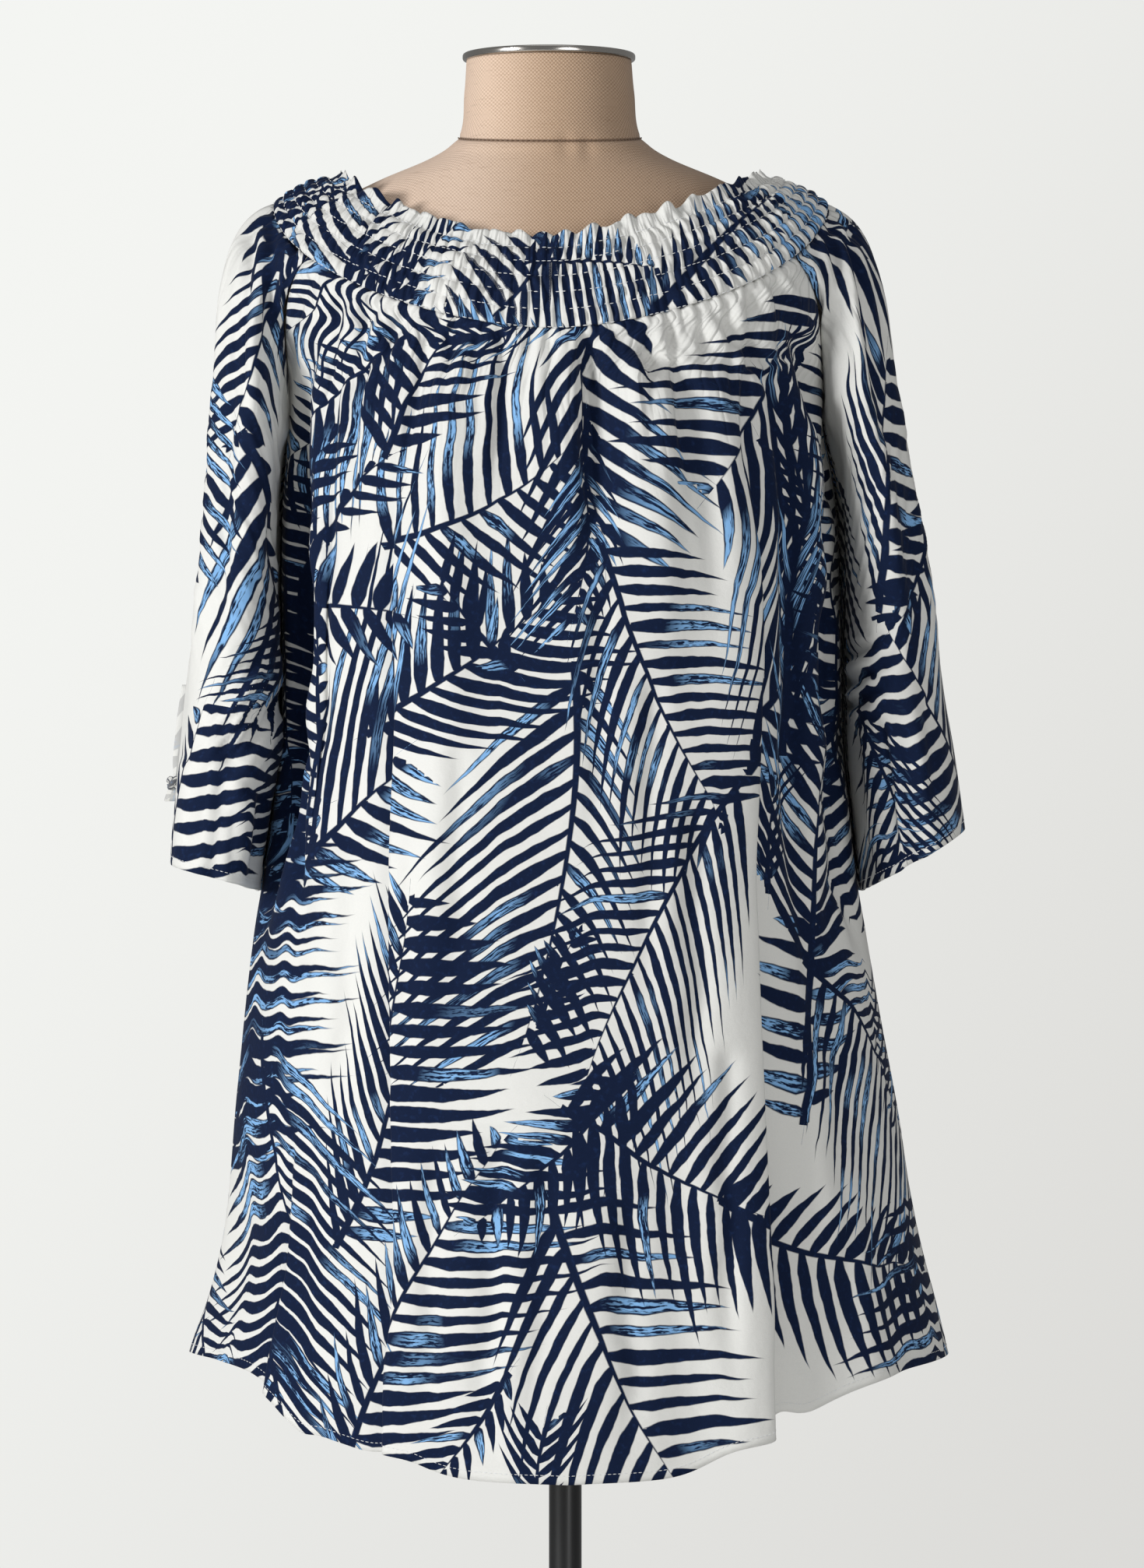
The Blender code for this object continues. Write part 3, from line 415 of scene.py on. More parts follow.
# ---- The printed cloth: palm fronds in navy and light blue on off-white -------------------------
# Millimetres on the flat cloth: x to the right on its right side, y up, zero at the back's underarm
# line. A reach is the longest leaflet on one side of the rib, a slant how far those leaflets lean to
# the tip, and bend bows the rib.
Frond = namedtuple("Frond", "base_x base_y tip_x tip_y left_reach left_slant right_reach right_slant"
                            " pitch bend blue")
FRONDS = records(Frond, (
    # back
    (40, -182, 7, -401, 53, 1.00, 113, 0.90, 14.8, 0.05, 0.55),
    (-99, -201, 26, -123, 64, 0.60, 71, 0.95, 13.8, -0.05, 0.35),
    (-78, -87, 39, -27, 107, 0.42, 66, 0.40, 13.0, -0.08, 0.55),
    (45, 63, 59, -94, 84, 0.70, 62, 1.25, 20.0, 0.02, 0.95),
    (59, -20, 38, -139, 24, 1.20, 39, 1.50, 11.0, 0.02, 0.70),
    (61, -105, 135, -259, 82, 0.45, 72, 1.00, 12.1, -0.04, 0.60),
    (252, 82, 147, -52, 125, 1.55, 88, 0.70, 18.0, 0.05, 0.50),
    (169, -216, 295, -123, 86, 1.40, 81, 0.65, 19.5, 0.04, 0.45),
    (219, -432, 243, -318, 66, 0.08, 52, 0.30, 16.5, 0.01, 0.45),
    (238, -342, 268, -196, 85, 0.98, 78, 0.85, 14.0, 0.02, 0.60),
    (140, -250, 45, -428, 85, 1.10, 67, 0.70, 12.2, -0.04, 0.35),
    (-161, -288, -78, -222, 146, 1.15, 66, 0.55, 15.5, 0.03, 0.55),
    (-128, -512, -66, -314, 54, 1.30, 94, 0.28, 13.4, -0.05, 0.35),
    (-304, -476, -292, -212, 19, 0.50, 190, 0.10, 16.0, 0.01, 0.55),
    (-304, -471, -292, -207, 19, 0.50, 184, 0.10, 16.0, 0.01, 0.75),
    (-207, -412, -194, -614, 118, 0.66, 112, 0.26, 11.6, 0.02, 0.50),
    (-202, -566, -136, -716, 74, 1.90, 24, 0.60, 15.0, 0.03, 0.30),
    (-115, -653, -7, -461, 46, 0.85, 100, 0.55, 13.4, 0.06, 0.40),
    (28, -514, 104, -666, 97, 0.42, 89, 0.85, 16.5, -0.04, 0.25),
    (43, -447, 168, -508, 83, 0.25, 83, 0.55, 12.3, -0.04, 0.30),
    (148, -504, 340, -550, 44, 0.60, 74, 0.48, 15.0, -0.05, 0.40),
    (240, -358, 362, -492, 57, 0.90, 118, 0.50, 11.2, 0.04, 0.50),
    (377, -512, 350, -672, 26, 0.60, 128, 0.26, 12.6, 0.03, 0.45),
    (-98, 46, -222, -32, 100, 0.58, 46, 0.50, 11.0, 0.03, 0.75),
    (-136, -72, -84, -32, 7, 0.50, 30, 0.90, 15.0, 0.03, 0.10),
    # These two fronds cross in the valley between the left sleeve and the back: print, laid densely so that
    # it also paints the valley's shade as nearly solid navy.
    (-156, -272, -158, -24, 104, 0.25, 8, 0.50, 12.0, 0.02, 0.20),
    (-262, -40, -242, -290, 84, 0.40, 14, 0.50, 12.5, 0.02, 0.30),
    (-85, -19, -49, 69, 71, 0.50, 66, 0.42, 12.8, 0.03, 0.55),
    (-234, -134, -70, -134, 51, 0.45, 38, 0.60, 18.1, 0.05, 0.30),
    (-116, 124, -203, 64, 69, 0.85, 63, 0.60, 12.9, 0.04, 0.25),
    (34, 63, -60, 48, 23, 1.20, 25, 1.20, 10.0, 0.02, 0.65),
    (68, -429, -26, -509, 42, 0.80, 37, 0.80, 11.7, 0.04, 0.35),
    (-338, -540, -236, -700, 40, 1.00, 46, 0.80, 13.0, 0.03, 0.35),
    (325, -194, 332, -324, 38, 0.50, 62, 0.50, 12.0, 0.04, 0.45),
    (18, -682, 22, -636, 31, 1.10, 31, 1.10, 9.5, 0.02, 0.40),
    (205, -37, 251, -155, 49, 1.60, 40, 1.60, 15.5, 0.02, 0.25),
    (227, -196, 238, 56, 28, 2.60, 24, 2.60, 20.0, 0.01, 0.45),
    (324, -236, 320, 62, 88, 0.25, 30, 0.30, 11.5, 0.02, 0.20),
    (-187, -85, -143, -17, 40, 0.80, 36, 0.80, 14.9, 0.03, 0.15),
    (-8, -159, -47, -107, 30, 0.80, 31, 0.80, 12.2, 0.03, 0.30),
    (336, -354, 357, -445, 26, 0.60, 65, 0.50, 12.1, 0.03, 0.40),
    (21, -379, 42, -332, 19, 0.60, 24, 0.50, 9.4, 0.03, 0.90),
    (199, -292, 207, -239, 29, 1.20, 32, 1.20, 11.7, 0.03, 0.90),
    (-268, -324, -161, -258, 49, 0.70, 44, 0.60, 21.7, 0.03, 0.80),
    (-6, -614, -45, -666, 19, 0.80, 29, 0.90, 11.5, 0.03, 0.30),
    # left sleeve
    (741, 187, 718, 43, 54, 0.60, 60, 0.75, 15.6, 0.03, 0.35),
    (740, 27, 812, -109, 15, 0.70, 106, 0.62, 19.5, 0.03, 0.45),
    (822, -59, 771, -132, 16, 0.80, 56, 0.90, 10.5, 0.05, 0.55),
    (698, -249, 720, -132, 40, 0.60, 113, 0.14, 15.5, 0.03, 0.30),
    (672, 198, 804, 77, 23, 1.30, 26, 1.20, 21.7, 0.03, 0.10),
    (823, -139, 812, -224, 17, 0.60, 68, 0.50, 10.7, 0.05, 0.30),
    (679, 74, 683, -45, 54, 0.70, 12, 0.70, 12.5, 0.03, 0.60),
    # right sleeve
    (957, 9, 1005, 152, 44, 1.80, 50, 0.15, 17.0, 0.03, 0.35),
    (958, 272, 1066, 240, 8, 0.50, 104, 0.14, 12.5, 0.02, 0.45),
    (881, 65, 872, -50, 62, 0.45, 18, 0.50, 12.5, 0.03, 0.60),
    (1036, -126, 960, -23, 114, 0.18, 62, 0.55, 13.4, 0.05, 0.80),
    (928, -91, 947, -177, 58, 1.15, 40, 1.30, 10.8, 0.04, 0.20),
    (1018, 53, 967, -17, 26, 0.80, 34, 0.75, 14.8, 0.04, 0.30),
    # neckband
    (-210, 219, -106, 188, 28, 0.45, 32, 0.45, 14.5, 0.04, 0.60),
    (-3, 246, -82, 196, 34, 0.50, 52, 0.60, 14.0, 0.04, 1.00),
    (59, 187, -94, 204, 20, 1.20, 21, 1.00, 15.9, 0.03, 0.95),
    (-16, 240, 108, 227, 26, 0.30, 58, 0.25, 10.8, 0.03, 0.60),
    (110, 211, 311, 238, 28, 0.60, 25, 0.50, 15.9, 0.04, 0.70),
    (406, 199, 243, 184, 27, 0.40, 64, 0.20, 18.8, 0.04, 0.70),
    (-205, 150, -224, 300, 150, 0.30, 40, 0.40, 10.5, 0.03, 0.30),
    (-176, 172, -112, 266, 34, 0.80, 30, 0.80, 11.5, 0.04, 0.60),
    (-380, 160, -392, 300, 70, 0.40, 110, 0.30, 11.0, 0.04, 0.25),
))
BOLT_REPEAT = np.array([1.640, 1.900])   # width and length after which the print starts again
BOLT_CORNER = np.array([-0.400, -0.720])
# Laid from the listed fronds alone: the back and what shows of the sleeves beside it, x and y.
HAND_AREAS = (((-0.330, 0.410), (-0.690, 0.130)), ((0.620, 0.850), (-0.250, 0.215)),
              ((0.850, 1.065), (-0.190, 0.275)), ((-0.400, 0.400), (0.130, 0.275)))
# Fronds that fill the rest of the bolt: metres between their cells, then the ranges from which chance
# draws their measures, in millimetres where they are lengths.
FILL_SPACING = 0.100
FILL_LENGTH = (130, 220)
FILL_REACH = (54, 82)
FILL_SLANT = (0.4, 1.3)
FILL_BLUE = (0.2, 0.6)
FILL_PITCH = 13.0
FILL_BEND = 0.04
FILL_PROBE = 0.042             # radius of the ring of points that says how bare a cell is
FILL_COVERED = 0.80            # a cell with more of that ring covered gets no frond
FILL_INSET = 0.050             # how far a filling frond's ends may reach into an area of listed fronds
FROND_SLOTS = 4                # most fronds that may cross one spot
FROND_MARGIN = 0.0035          # a frond is carried this far past its leaflets
FROND_SPREAD = 0.260           # no leaflet reaches further than this past its rib's ends
FULLEST_AT = 0.40              # where along the rib the leaflets are longest
FULLNESS = 0.63                # and how slowly they shorten from there
SLANT_AT_ROOT = 0.75           # share of its slant that a leaflet has where it leaves the rib
SLANT_GROWTH = 0.45            # and how much more it has at its tip


def frond_place(frond, flat, shift):
    """Where flat points lie along a frond's rib and across it, and the rib's length, in leaflets."""
    base = np.array([frond.base_x, frond.base_y]) / 1000.0 + shift
    way = np.array([frond.tip_x - frond.base_x, frond.tip_y - frond.base_y]) / 1000.0
    length = np.linalg.norm(way)
    way = way / length
    along = (flat - base) @ way
    across = (flat - base) @ np.array([-way[1], way[0]])
    share = np.clip(along / length, -0.3, 1.3)
    across = across - frond.bend * length * 4.0 * share * (1.0 - share)
    pitch = frond.pitch / 1000.0
    return along / pitch, across / pitch, length / pitch


def frond_form(frond, across):
    """Reach, in leaflets, and slant of the side of the rib on which points lie."""
    left = across > 0
    reach = np.where(left, frond.left_reach, frond.right_reach) / frond.pitch
    return reach, np.where(left, frond.left_slant, frond.right_slant)


def frond_covers(frond, flat, shift):
    along, across, length = frond_place(frond, flat, shift)
    reach, slant = frond_form(frond, across)
    margin = FROND_MARGIN * 1000.0 / frond.pitch
    out = np.abs(across)
    root = along - slant * out * (SLANT_AT_ROOT + SLANT_GROWTH * out / reach)
    bulge = 1.0 - ((root / length - FULLEST_AT) / FULLNESS) ** 2
    leaf = (root > -1.0 - margin) & (root < length + 1.0 + margin)
    leaf &= out < reach * 1.10 * np.sqrt(np.maximum(bulge, 0.0)) + margin
    rib = (along > -2.0) & (along < length + 1.0) & (out < margin)
    return leaf | rib


def bolt_fronds():
    """The listed fronds, and others wherever the bolt is still bare."""
    fronds = list(FRONDS)
    chance = np.random.default_rng(5)
    turns = round_angles(8)
    probe = np.concatenate([[[0.0, 0.0]], FILL_PROBE * np.stack([np.cos(turns), np.sin(turns)], axis=-1)])
    for cell in itertools.product(*(range(int(size / FILL_SPACING) + 1) for size in BOLT_REPEAT)):
        middle = BOLT_CORNER + (np.array(cell) + chance.uniform(0.1, 0.9, 2)) * FILL_SPACING
        turn, length = chance.uniform(0.0, 2.0 * math.pi), chance.uniform(*FILL_LENGTH)
        reach, slants = chance.uniform(*FILL_REACH), chance.uniform(*FILL_SLANT, 2)
        blue = chance.uniform(*FILL_BLUE)
        way = 0.4 * length * np.array([math.cos(turn), math.sin(turn)])
        start, end = middle * 1000.0 - way * 1.3, middle * 1000.0 + way * 0.9
        if any(all(low + inset < value < high - inset for value, (low, high) in zip(place, area))
               for place, inset in ((middle, 0.0), (start / 1000.0, FILL_INSET), (end / 1000.0, FILL_INSET))
               for area in HAND_AREAS):
            continue
        covered = np.zeros(len(probe), bool)
        for frond in fronds:
            for i, j in itertools.product((-1, 0, 1), repeat=2):
                covered |= frond_covers(frond, middle + probe, np.array([i, j]) * BOLT_REPEAT)
        if covered.mean() <= FILL_COVERED:
            fronds.append(Frond(*start, *end, reach, slants[0], reach * 0.9, slants[1],
                                FILL_PITCH, FILL_BEND, blue))
    return fronds


def print_cloth(mesh, corners):
    """Gives each face the fronds that cross it, in slots, with the place of its corners on them.

    corners holds the flat place of the four corners of every face.
    """
    middles = corners.mean(axis=1)
    taken = np.zeros(len(corners), int)
    places = np.zeros((FROND_SLOTS, len(corners), 4, 3))
    forms = np.zeros((FROND_SLOTS, len(corners), 3))
    least, most = middles.min(axis=0), middles.max(axis=0)
    low = np.floor((least - BOLT_CORNER) / BOLT_REPEAT).astype(int) - 1
    high = np.ceil((most - BOLT_CORNER) / BOLT_REPEAT).astype(int)
    for i, j in itertools.product(range(low[0], high[0] + 1), range(low[1], high[1] + 1)):
        shift = np.array([i, j]) * BOLT_REPEAT
        for number, frond in enumerate(BOLT_FRONDS):
            ends = np.array([[frond.base_x, frond.base_y], [frond.tip_x, frond.tip_y]]) / 1000.0 + shift
            before, after = ends.min(axis=0) - FROND_SPREAD, ends.max(axis=0) + FROND_SPREAD
            if (before > most).any() or (after < least).any():
                continue
            faces = np.nonzero(frond_covers(frond, middles, shift) & (taken < FROND_SLOTS))[0]
            along, across, length = frond_place(frond, corners[faces], shift)
            reach, slant = frond_form(frond, across.mean(axis=1))
            places[taken[faces], faces] = points_of(along, across, number + 1 + frond.blue)
            forms[taken[faces], faces] = points_of(length, reach, slant)
            taken[faces] += 1
    for slot in range(FROND_SLOTS):
        layer = mesh.attributes.new(f"frond_{slot}", "FLOAT_VECTOR", "CORNER")
        layer.data.foreach_set("vector", places[slot].ravel())
        layer = mesh.attributes.new(f"frond_form_{slot}", "FLOAT_VECTOR", "FACE")
        layer.data.foreach_set("vector", forms[slot].ravel())
    mesh.polygons.foreach_set("material_index", taken)


# ---- Making cloth pieces ------------------------------------------------------------------------
CLOTH_THIN = 0.0008       # the cloth itself
HEM_DEPTH = 0.0110        # a turned hem
HEM_EXTRA = 0.0010        # how much thicker the turned hem is
HEM_STEP = 0.0008         # over this length the hem's thickness ends
STITCH_UP = 0.0055        # the hem's stitching above its edge
PUCKER_IN = 0.00035       # how far that stitching pulls the cloth in, over PUCKER_WIDTH
PUCKER_WIDTH = 0.0016
PUCKER_LENGTH = 0.009     # of its uneven waves along the hem
HEM_RIDGE = 0.0002        # how far the hem's upper edge shows through, over HEM_RIDGE_WIDTH
HEM_RIDGE_WIDTH = 0.0012
GATHERS_RUN = 0.150       # how far fine gathers run down from a gathered edge
WRONG_SIDE_INK = 0.30     # how strongly the print shows on the cloth's wrong side


def put(name, data):
    """Stands a new object in the scene."""
    thing = bpy.data.objects.new(name, data)
    bpy.context.scene.collection.objects.link(thing)
    return thing


def surface_normals(grid, closed):
    if closed:
        along = np.roll(grid, -1, axis=1) - np.roll(grid, 1, axis=1)
    else:
        along = np.gradient(grid, axis=1)
    normals = unit(np.cross(along, np.gradient(grid, axis=0)))
    middle = grid.reshape(-1, 3).mean(axis=0)
    if ((grid - middle) * normals).sum() < 0:
        normals = -normals
    return normals


def run_down(grid):
    """Distance along the cloth from the top row, for every point."""
    steps = np.linalg.norm(np.diff(grid, axis=0), axis=-1)
    return np.concatenate([np.zeros((1, grid.shape[1])), np.cumsum(steps, axis=0)])


def run_up(grid):
    """Distance along the cloth from the last row, for every point."""
    down = run_down(grid)
    return down[-1:] - down


def run_across(grid):
    """Distance along the cloth from the first column, for every point."""
    steps = np.linalg.norm(np.diff(grid, axis=1), axis=-1)
    return np.concatenate([np.zeros((grid.shape[0], 1)), np.cumsum(steps, axis=1)], axis=1)


def grid_quads(height, width):
    """Rows and columns of the corners of every face of a grid of points."""
    row, column = np.meshgrid(np.arange(height - 1), np.arange(width - 1), indexing="ij")
    rows = np.stack([row, row + 1, row + 1, row], axis=-1).reshape(-1, 4)
    columns = np.stack([column, column, column + 1, column + 1], axis=-1).reshape(-1, 4)
    return rows, columns


def rim_quads(edge_rows, edge_columns):
    """Faces between the two layers along an edge, whose points are given in order."""
    rows = np.stack([edge_rows[:-1], edge_rows[1:], edge_rows[1:], edge_rows[:-1]], axis=-1)
    columns = np.stack([edge_columns[:-1], edge_columns[1:], edge_columns[1:], edge_columns[:-1]], axis=-1)
    return rows, columns, np.tile(np.array([0, 0, 1, 1]), (len(rows), 1))


def shell_faces(height, width, closed):
    """Row, column and layer of every face corner of a closed shell made of two grids."""
    rows, columns = grid_quads(height, width)
    layers = np.zeros_like(rows)
    parts = [(rows, columns, layers), (rows[:, ::-1], columns[:, ::-1], layers + 1)]
    down, along = np.arange(height), np.arange(width)
    parts.append(rim_quads(0 * along, along))
    parts.append(rim_quads(0 * along + height - 1, along[::-1]))
    if not closed:
        parts.append(rim_quads(down[::-1], 0 * down))
        parts.append(rim_quads(down, 0 * down + width - 1))
    return (np.concatenate([part[i] for part in parts]) for i in range(3))


def printed_piece(name, vertices, faces, corners, ink):
    """A smooth mesh that wears the printed cloth.

    corners holds the flat places of the corners of every face, ink how strongly each is printed.
    """
    mesh = bpy.data.meshes.new(name)
    mesh.from_pydata(vertices.tolist(), [], faces.tolist())
    mesh.shade_smooth()
    mesh.uv_layers.new(name="cut").data.foreach_set("uv", corners.ravel())
    mesh.attributes.new("ink", "FLOAT", "FACE").data.foreach_set("value", ink)
    print_cloth(mesh, corners)
    for material in PRINTED_CLOTH:
        mesh.materials.append(material)
    return put(name, mesh)


def make_cloth(name, outer, inner, flat, closed=False, right_side_out=True, gathers=0.0):
    """A shell of cloth between two grids of points, printed by its flat places.

    gathers is how far fine gathers run down from the first row.
    """
    height, width = outer.shape[:2]
    rows, columns, layers = shell_faces(height, width + 1 if closed else width, closed)
    vertices = np.concatenate([outer.reshape(-1, 3), inner.reshape(-1, 3)])
    index = layers * height * width + rows * width + columns % width
    a, b, c = vertices[index[:, 0]], vertices[index[:, 1]], vertices[index[:, 2]]
    d = vertices[index[:, 3]]
    if (a * np.cross(b, c)).sum() + (a * np.cross(c, d)).sum() < 0:
        index, rows, columns = index[:, ::-1], rows[:, ::-1], columns[:, ::-1]
    inside = layers.min(axis=1) == (1 if right_side_out else 0)
    piece = printed_piece(name, vertices, index, flat[rows, columns], np.where(inside, WRONG_SIDE_INK, 1.0))
    if gathers:
        pulled = np.tile(smooth(1.0 - run_down(outer) / gathers).ravel(), 2)
        piece.data.attributes.new("pulled", "FLOAT", "POINT").data.foreach_set("value", pulled)
    return piece


def raised(grid, lift):
    """An open grid moved along its own normals."""
    return grid + surface_normals(grid, False) * lift[..., None]


def hem_thickness(grid):
    """Extra thickness of the turned hem at a grid's last rows."""
    return HEM_EXTRA * smooth((HEM_DEPTH - run_up(grid)) / HEM_STEP)


def hem_pucker(grid, seed):
    """The hem's stitching pulls the cloth in a little along its line."""
    up = run_up(grid)
    pull = 0.6 + 0.4 * ripple(run_across(grid) / PUCKER_LENGTH, seed)
    return (-PUCKER_IN * bump((up - STITCH_UP) / PUCKER_WIDTH) * pull
            + HEM_RIDGE * bump((up - HEM_DEPTH) / HEM_RIDGE_WIDTH))


def creases(table, grid):
    """How far the listed creases move the cloth: a valley with a soft ridge along one side."""
    total = 0.0
    for row in table:
        start = np.array([row.start_x, row.start_z])
        way = np.array([row.end_x, row.end_z]) - start
        length = np.linalg.norm(way)
        offset = grid[..., [0, 2]] - start
        along = offset @ way / length ** 2
        away = (offset[..., 0] * way[1] - offset[..., 1] * way[0]) / length / (row.width / 1000.0)
        away = away + CREASE_SWAY * drift(along * length / CREASE_SWAY_LENGTH, 0.0 * along, 17)
        kept = smooth(along / 0.10 + 0.5) * smooth((1.0 - along) / CREASE_FADE)
        profile = bump(away) - CREASE_RIDGE * bump((away - RIDGE_AT) / RIDGE_WIDTH)
        total = total - CREASE_DEPTH * row.depth / 1000.0 * kept * profile
    return total


# ---- Body panels --------------------------------------------------------------------------------
PANEL_COLUMNS = 215
YOKE_ROWS = 40
SKIRT_ROWS = 165
PANEL_GATHERS = 37        # gathers of the band that run into one panel
SEAM_DIP = 0.0010         # how far cloth rolls in at a sewn seam
SEAM_ROLL = 0.0022        # width of that roll
PANEL_FINE = 0.0026       # heights of the panel's gathers at the band, of the pleats and tucks that
PANEL_PLEATS = 0.0030     # run down from them, and of its long and soft unevenness
PANEL_TUCKS = 0.0022
PANEL_LONG = 0.0016
PANEL_SOFT = 0.0011
FRONT_CUT_SHIFT = (0.800, 1.020)   # where on the bolt the front panel is cut
CREASE_DEPTH = 1.35       # all creases together
CREASE_RIDGE = 0.65       # height of the soft ridge beside a crease, as a share of its depth
RIDGE_AT = 2.3            # where that ridge is and how wide, in widths of the crease
RIDGE_WIDTH = 1.7
CREASE_SWAY = 0.5         # how far a crease strays from its line, in its widths
CREASE_SWAY_LENGTH = 0.035
CREASE_FADE = 0.45        # share of its length over which a crease fades out

# Creases listed one by one: where they start and end on the face, x and z, then width and depth in
# millimetres. A crease with a negative depth stands up.
Crease = namedtuple("Crease", "start_x start_z end_x end_z width depth")
BACK_CREASES = records(Crease, (
    (-0.0877, 1.3053, -0.1079, 1.1932, 3.0, 2.6),
    (-0.0732, 1.3043, -0.0746, 1.2512, 2.5, 1.8),
    (-0.0553, 1.3053, -0.0611, 1.2560, 2.5, 1.5),
    (-0.0393, 1.3043, -0.0437, 1.2028, 3.0, 2.5),
    (-0.0234, 1.3033, -0.0282, 1.2608, 2.5, 1.6),
    (-0.0103, 1.3033, -0.0128, 1.2367, 2.5, 1.8),
    (0.0124, 1.3043, 0.0153, 1.1545, 4.5, 4.2),
    (0.0307, 1.3053, 0.0356, 1.2560, 2.5, 1.6),
    (0.0501, 1.3091, 0.0539, 1.1980, 3.0, 2.6),
    (0.0646, 1.3149, 0.0800, 1.1883, 3.0, 2.8),
    (0.0839, 1.3227, 0.0863, 1.2802, 2.5, 1.5),
    (0.1008, 1.3294, 0.1071, 1.2367, 3.0, 2.2),
    (0.1153, 1.3333, 0.1114, 1.2028, 3.0, 2.6),
    (0.1322, 1.3372, 0.1390, 1.2560, 3.0, 2.0),
    (-0.1094, 1.3120, -0.1249, 1.2077, 3.0, 2.2),
    (-0.1263, 1.3207, -0.1384, 1.1738, 3.5, 2.6),
    (-0.1432, 1.3304, -0.1558, 1.2367, 3.0, 2.2),
    (-0.0988, 1.3062, -0.1036, 1.2657, 2.5, 1.5),
    (-0.0432, 0.8066, -0.0475, 0.5940, 8.0, 3.0),
    (0.0525, 1.0869, 0.0539, 0.8743, 7.0, 2.2),
    (0.0781, 1.0096, 0.0863, 0.7776, 8.0, 3.0),
    (-0.0683, 1.0482, -0.0649, 0.8743, 7.0, 1.8),
    (-0.0128, 0.7969, -0.0176, 0.5940, 8.0, 2.4),
    (0.0211, 1.1352, 0.0187, 0.9709, 6.0, 2.0),
    (-0.1336, 0.9902, -0.1394, 0.7776, 7.0, 2.2),
    (0.1370, 1.1835, 0.1438, 0.9226, 7.0, 2.4),
    (0.0356, 0.7679, 0.0443, 0.5940, 8.0, 2.4),
    (-0.0823, 0.7969, -0.0862, 0.6133, 7.0, 2.2),
    (0.0984, 0.8598, 0.1056, 0.6230, 7.0, 2.6),
    (-0.1601, 0.7873, -0.1713, 0.6423, 7.0, 2.4),
    (0.1684, 0.8598, 0.1854, 0.6520, 8.0, 2.6),
    (-0.0997, 0.8356, -0.0949, 1.0289, 6.0, 1.6),
    (-0.0732, 0.8182, 0.0863, 0.8114, 3.2, -1.3),
    (-0.0417, 0.7989, 0.0042, 0.8259, 3.6, -1.0),
    (-0.1665, 0.9650, -0.1660, 1.2700, 6.5, 8.6),
    (0.1665, 1.2600, 0.1700, 0.8900, 6.5, 8.6),
))
FRONT_CREASES = records(Crease, (
    (-0.0937, 1.3030, -0.1067, 1.1893, 3.0, 2.4),
    (-0.0653, 1.3009, -0.0695, 1.2255, 2.5, 1.8),
    (-0.0395, 1.2999, -0.0426, 1.2152, 3.0, 2.0),
    (-0.0136, 1.2989, -0.0136, 1.1842, 3.5, 3.0),
    (0.0174, 1.2989, 0.0215, 1.2152, 3.0, 2.0),
    (0.0458, 1.3009, 0.0525, 1.2048, 3.0, 2.4),
    (0.0742, 1.3051, 0.0825, 1.2255, 2.5, 1.8),
    (0.1000, 1.3134, 0.1083, 1.1842, 3.5, 2.6),
    (-0.1273, 1.3185, -0.1403, 1.2152, 3.0, 2.4),
    (0.1336, 1.3289, 0.1435, 1.2358, 3.0, 2.2),
    (-0.0550, 0.8741, -0.0591, 0.6157, 8.0, 2.6),
    (0.0277, 0.8999, 0.0329, 0.6054, 8.0, 2.8),
    (0.0897, 0.9516, 0.0990, 0.6467, 8.0, 2.6),
    (-0.1170, 0.9516, -0.1242, 0.6570, 8.0, 2.6),
    (-0.0136, 1.0808, -0.0105, 0.9051, 7.0, 2.0),
))
LEFT_CREASES = records(Crease, (
    (-0.2008, 1.3750, -0.2072, 1.2207, 4.0, 3.0),
    (-0.1875, 1.3780, -0.1909, 1.2797, 3.0, 2.4),
    (-0.1723, 1.3731, -0.1742, 1.2551, 3.0, 2.4),
    (-0.1791, 1.2452, -0.1850, 1.1273, 5.0, 2.4),
    (-0.2096, 1.0363, -0.1683, 1.0938, 6.0, 3.2),
    (-0.2195, 1.0781, -0.1772, 1.1164, 5.0, 2.4),
    (-0.1919, 1.0191, -0.1988, 0.9503, 4.0, 3.4),
    (-0.2283, 1.0388, -0.2352, 0.9601, 6.0, 2.6),
    (-0.2136, 1.2059, -0.2214, 1.0978, 6.0, 2.2),
    (-0.2096, 1.0093, -0.2116, 0.9552, 5.0, 2.0),
))
RIGHT_CREASES = records(Crease, (
    (0.1669, 1.3799, 0.1837, 1.2354, 3.5, 2.8),
    (0.1787, 1.3809, 0.2004, 1.2649, 3.5, 2.4),
    (0.1699, 1.2649, 0.1738, 1.1469, 4.0, 2.4),
    (0.1964, 1.0609, 0.2092, 0.9601, 4.0, 4.0),
    (0.1827, 1.0584, 0.1886, 0.9650, 4.0, 2.4),
    (0.2156, 1.2452, 0.2259, 1.1273, 6.0, 2.2),
    (0.2259, 1.0781, 0.2387, 0.9896, 6.0, 2.4),
    (0.1778, 1.0722, 0.2132, 1.0938, 4.0, 3.0),
    (0.1758, 1.0860, 0.2171, 1.1086, 3.5, 2.6),
    (0.1748, 1.1017, 0.2082, 1.1214, 3.5, 2.2),
))


def panel_places(steps):
    """Where columns stand at the band: closer together beside the steps."""
    place = np.linspace(0.0, 1.0, 4001)
    density = 1.0 + 2.2 * sum(bump((place - step.place_top) / 0.022) for step in steps)
    run = np.cumsum(density) - density[0]
    return np.interp(np.linspace(0.0, run[-1], PANEL_COLUMNS + 1), run, place)


def draw_in(grid, gap):
    """Moves the two long edges back from their seams."""
    grid = grid.copy()
    grid[:, 0] += unit(grid[:, 1] - grid[:, 0]) * gap
    grid[:, -1] += unit(grid[:, -2] - grid[:, -1]) * gap
    return grid


def seam_dip(grid):
    """Cloth rolls in beside the seams along both long edges."""
    around = run_across(grid)
    near = np.minimum(around, around[:, -1:] - around)
    return -SEAM_DIP * bump(near / SEAM_ROLL)


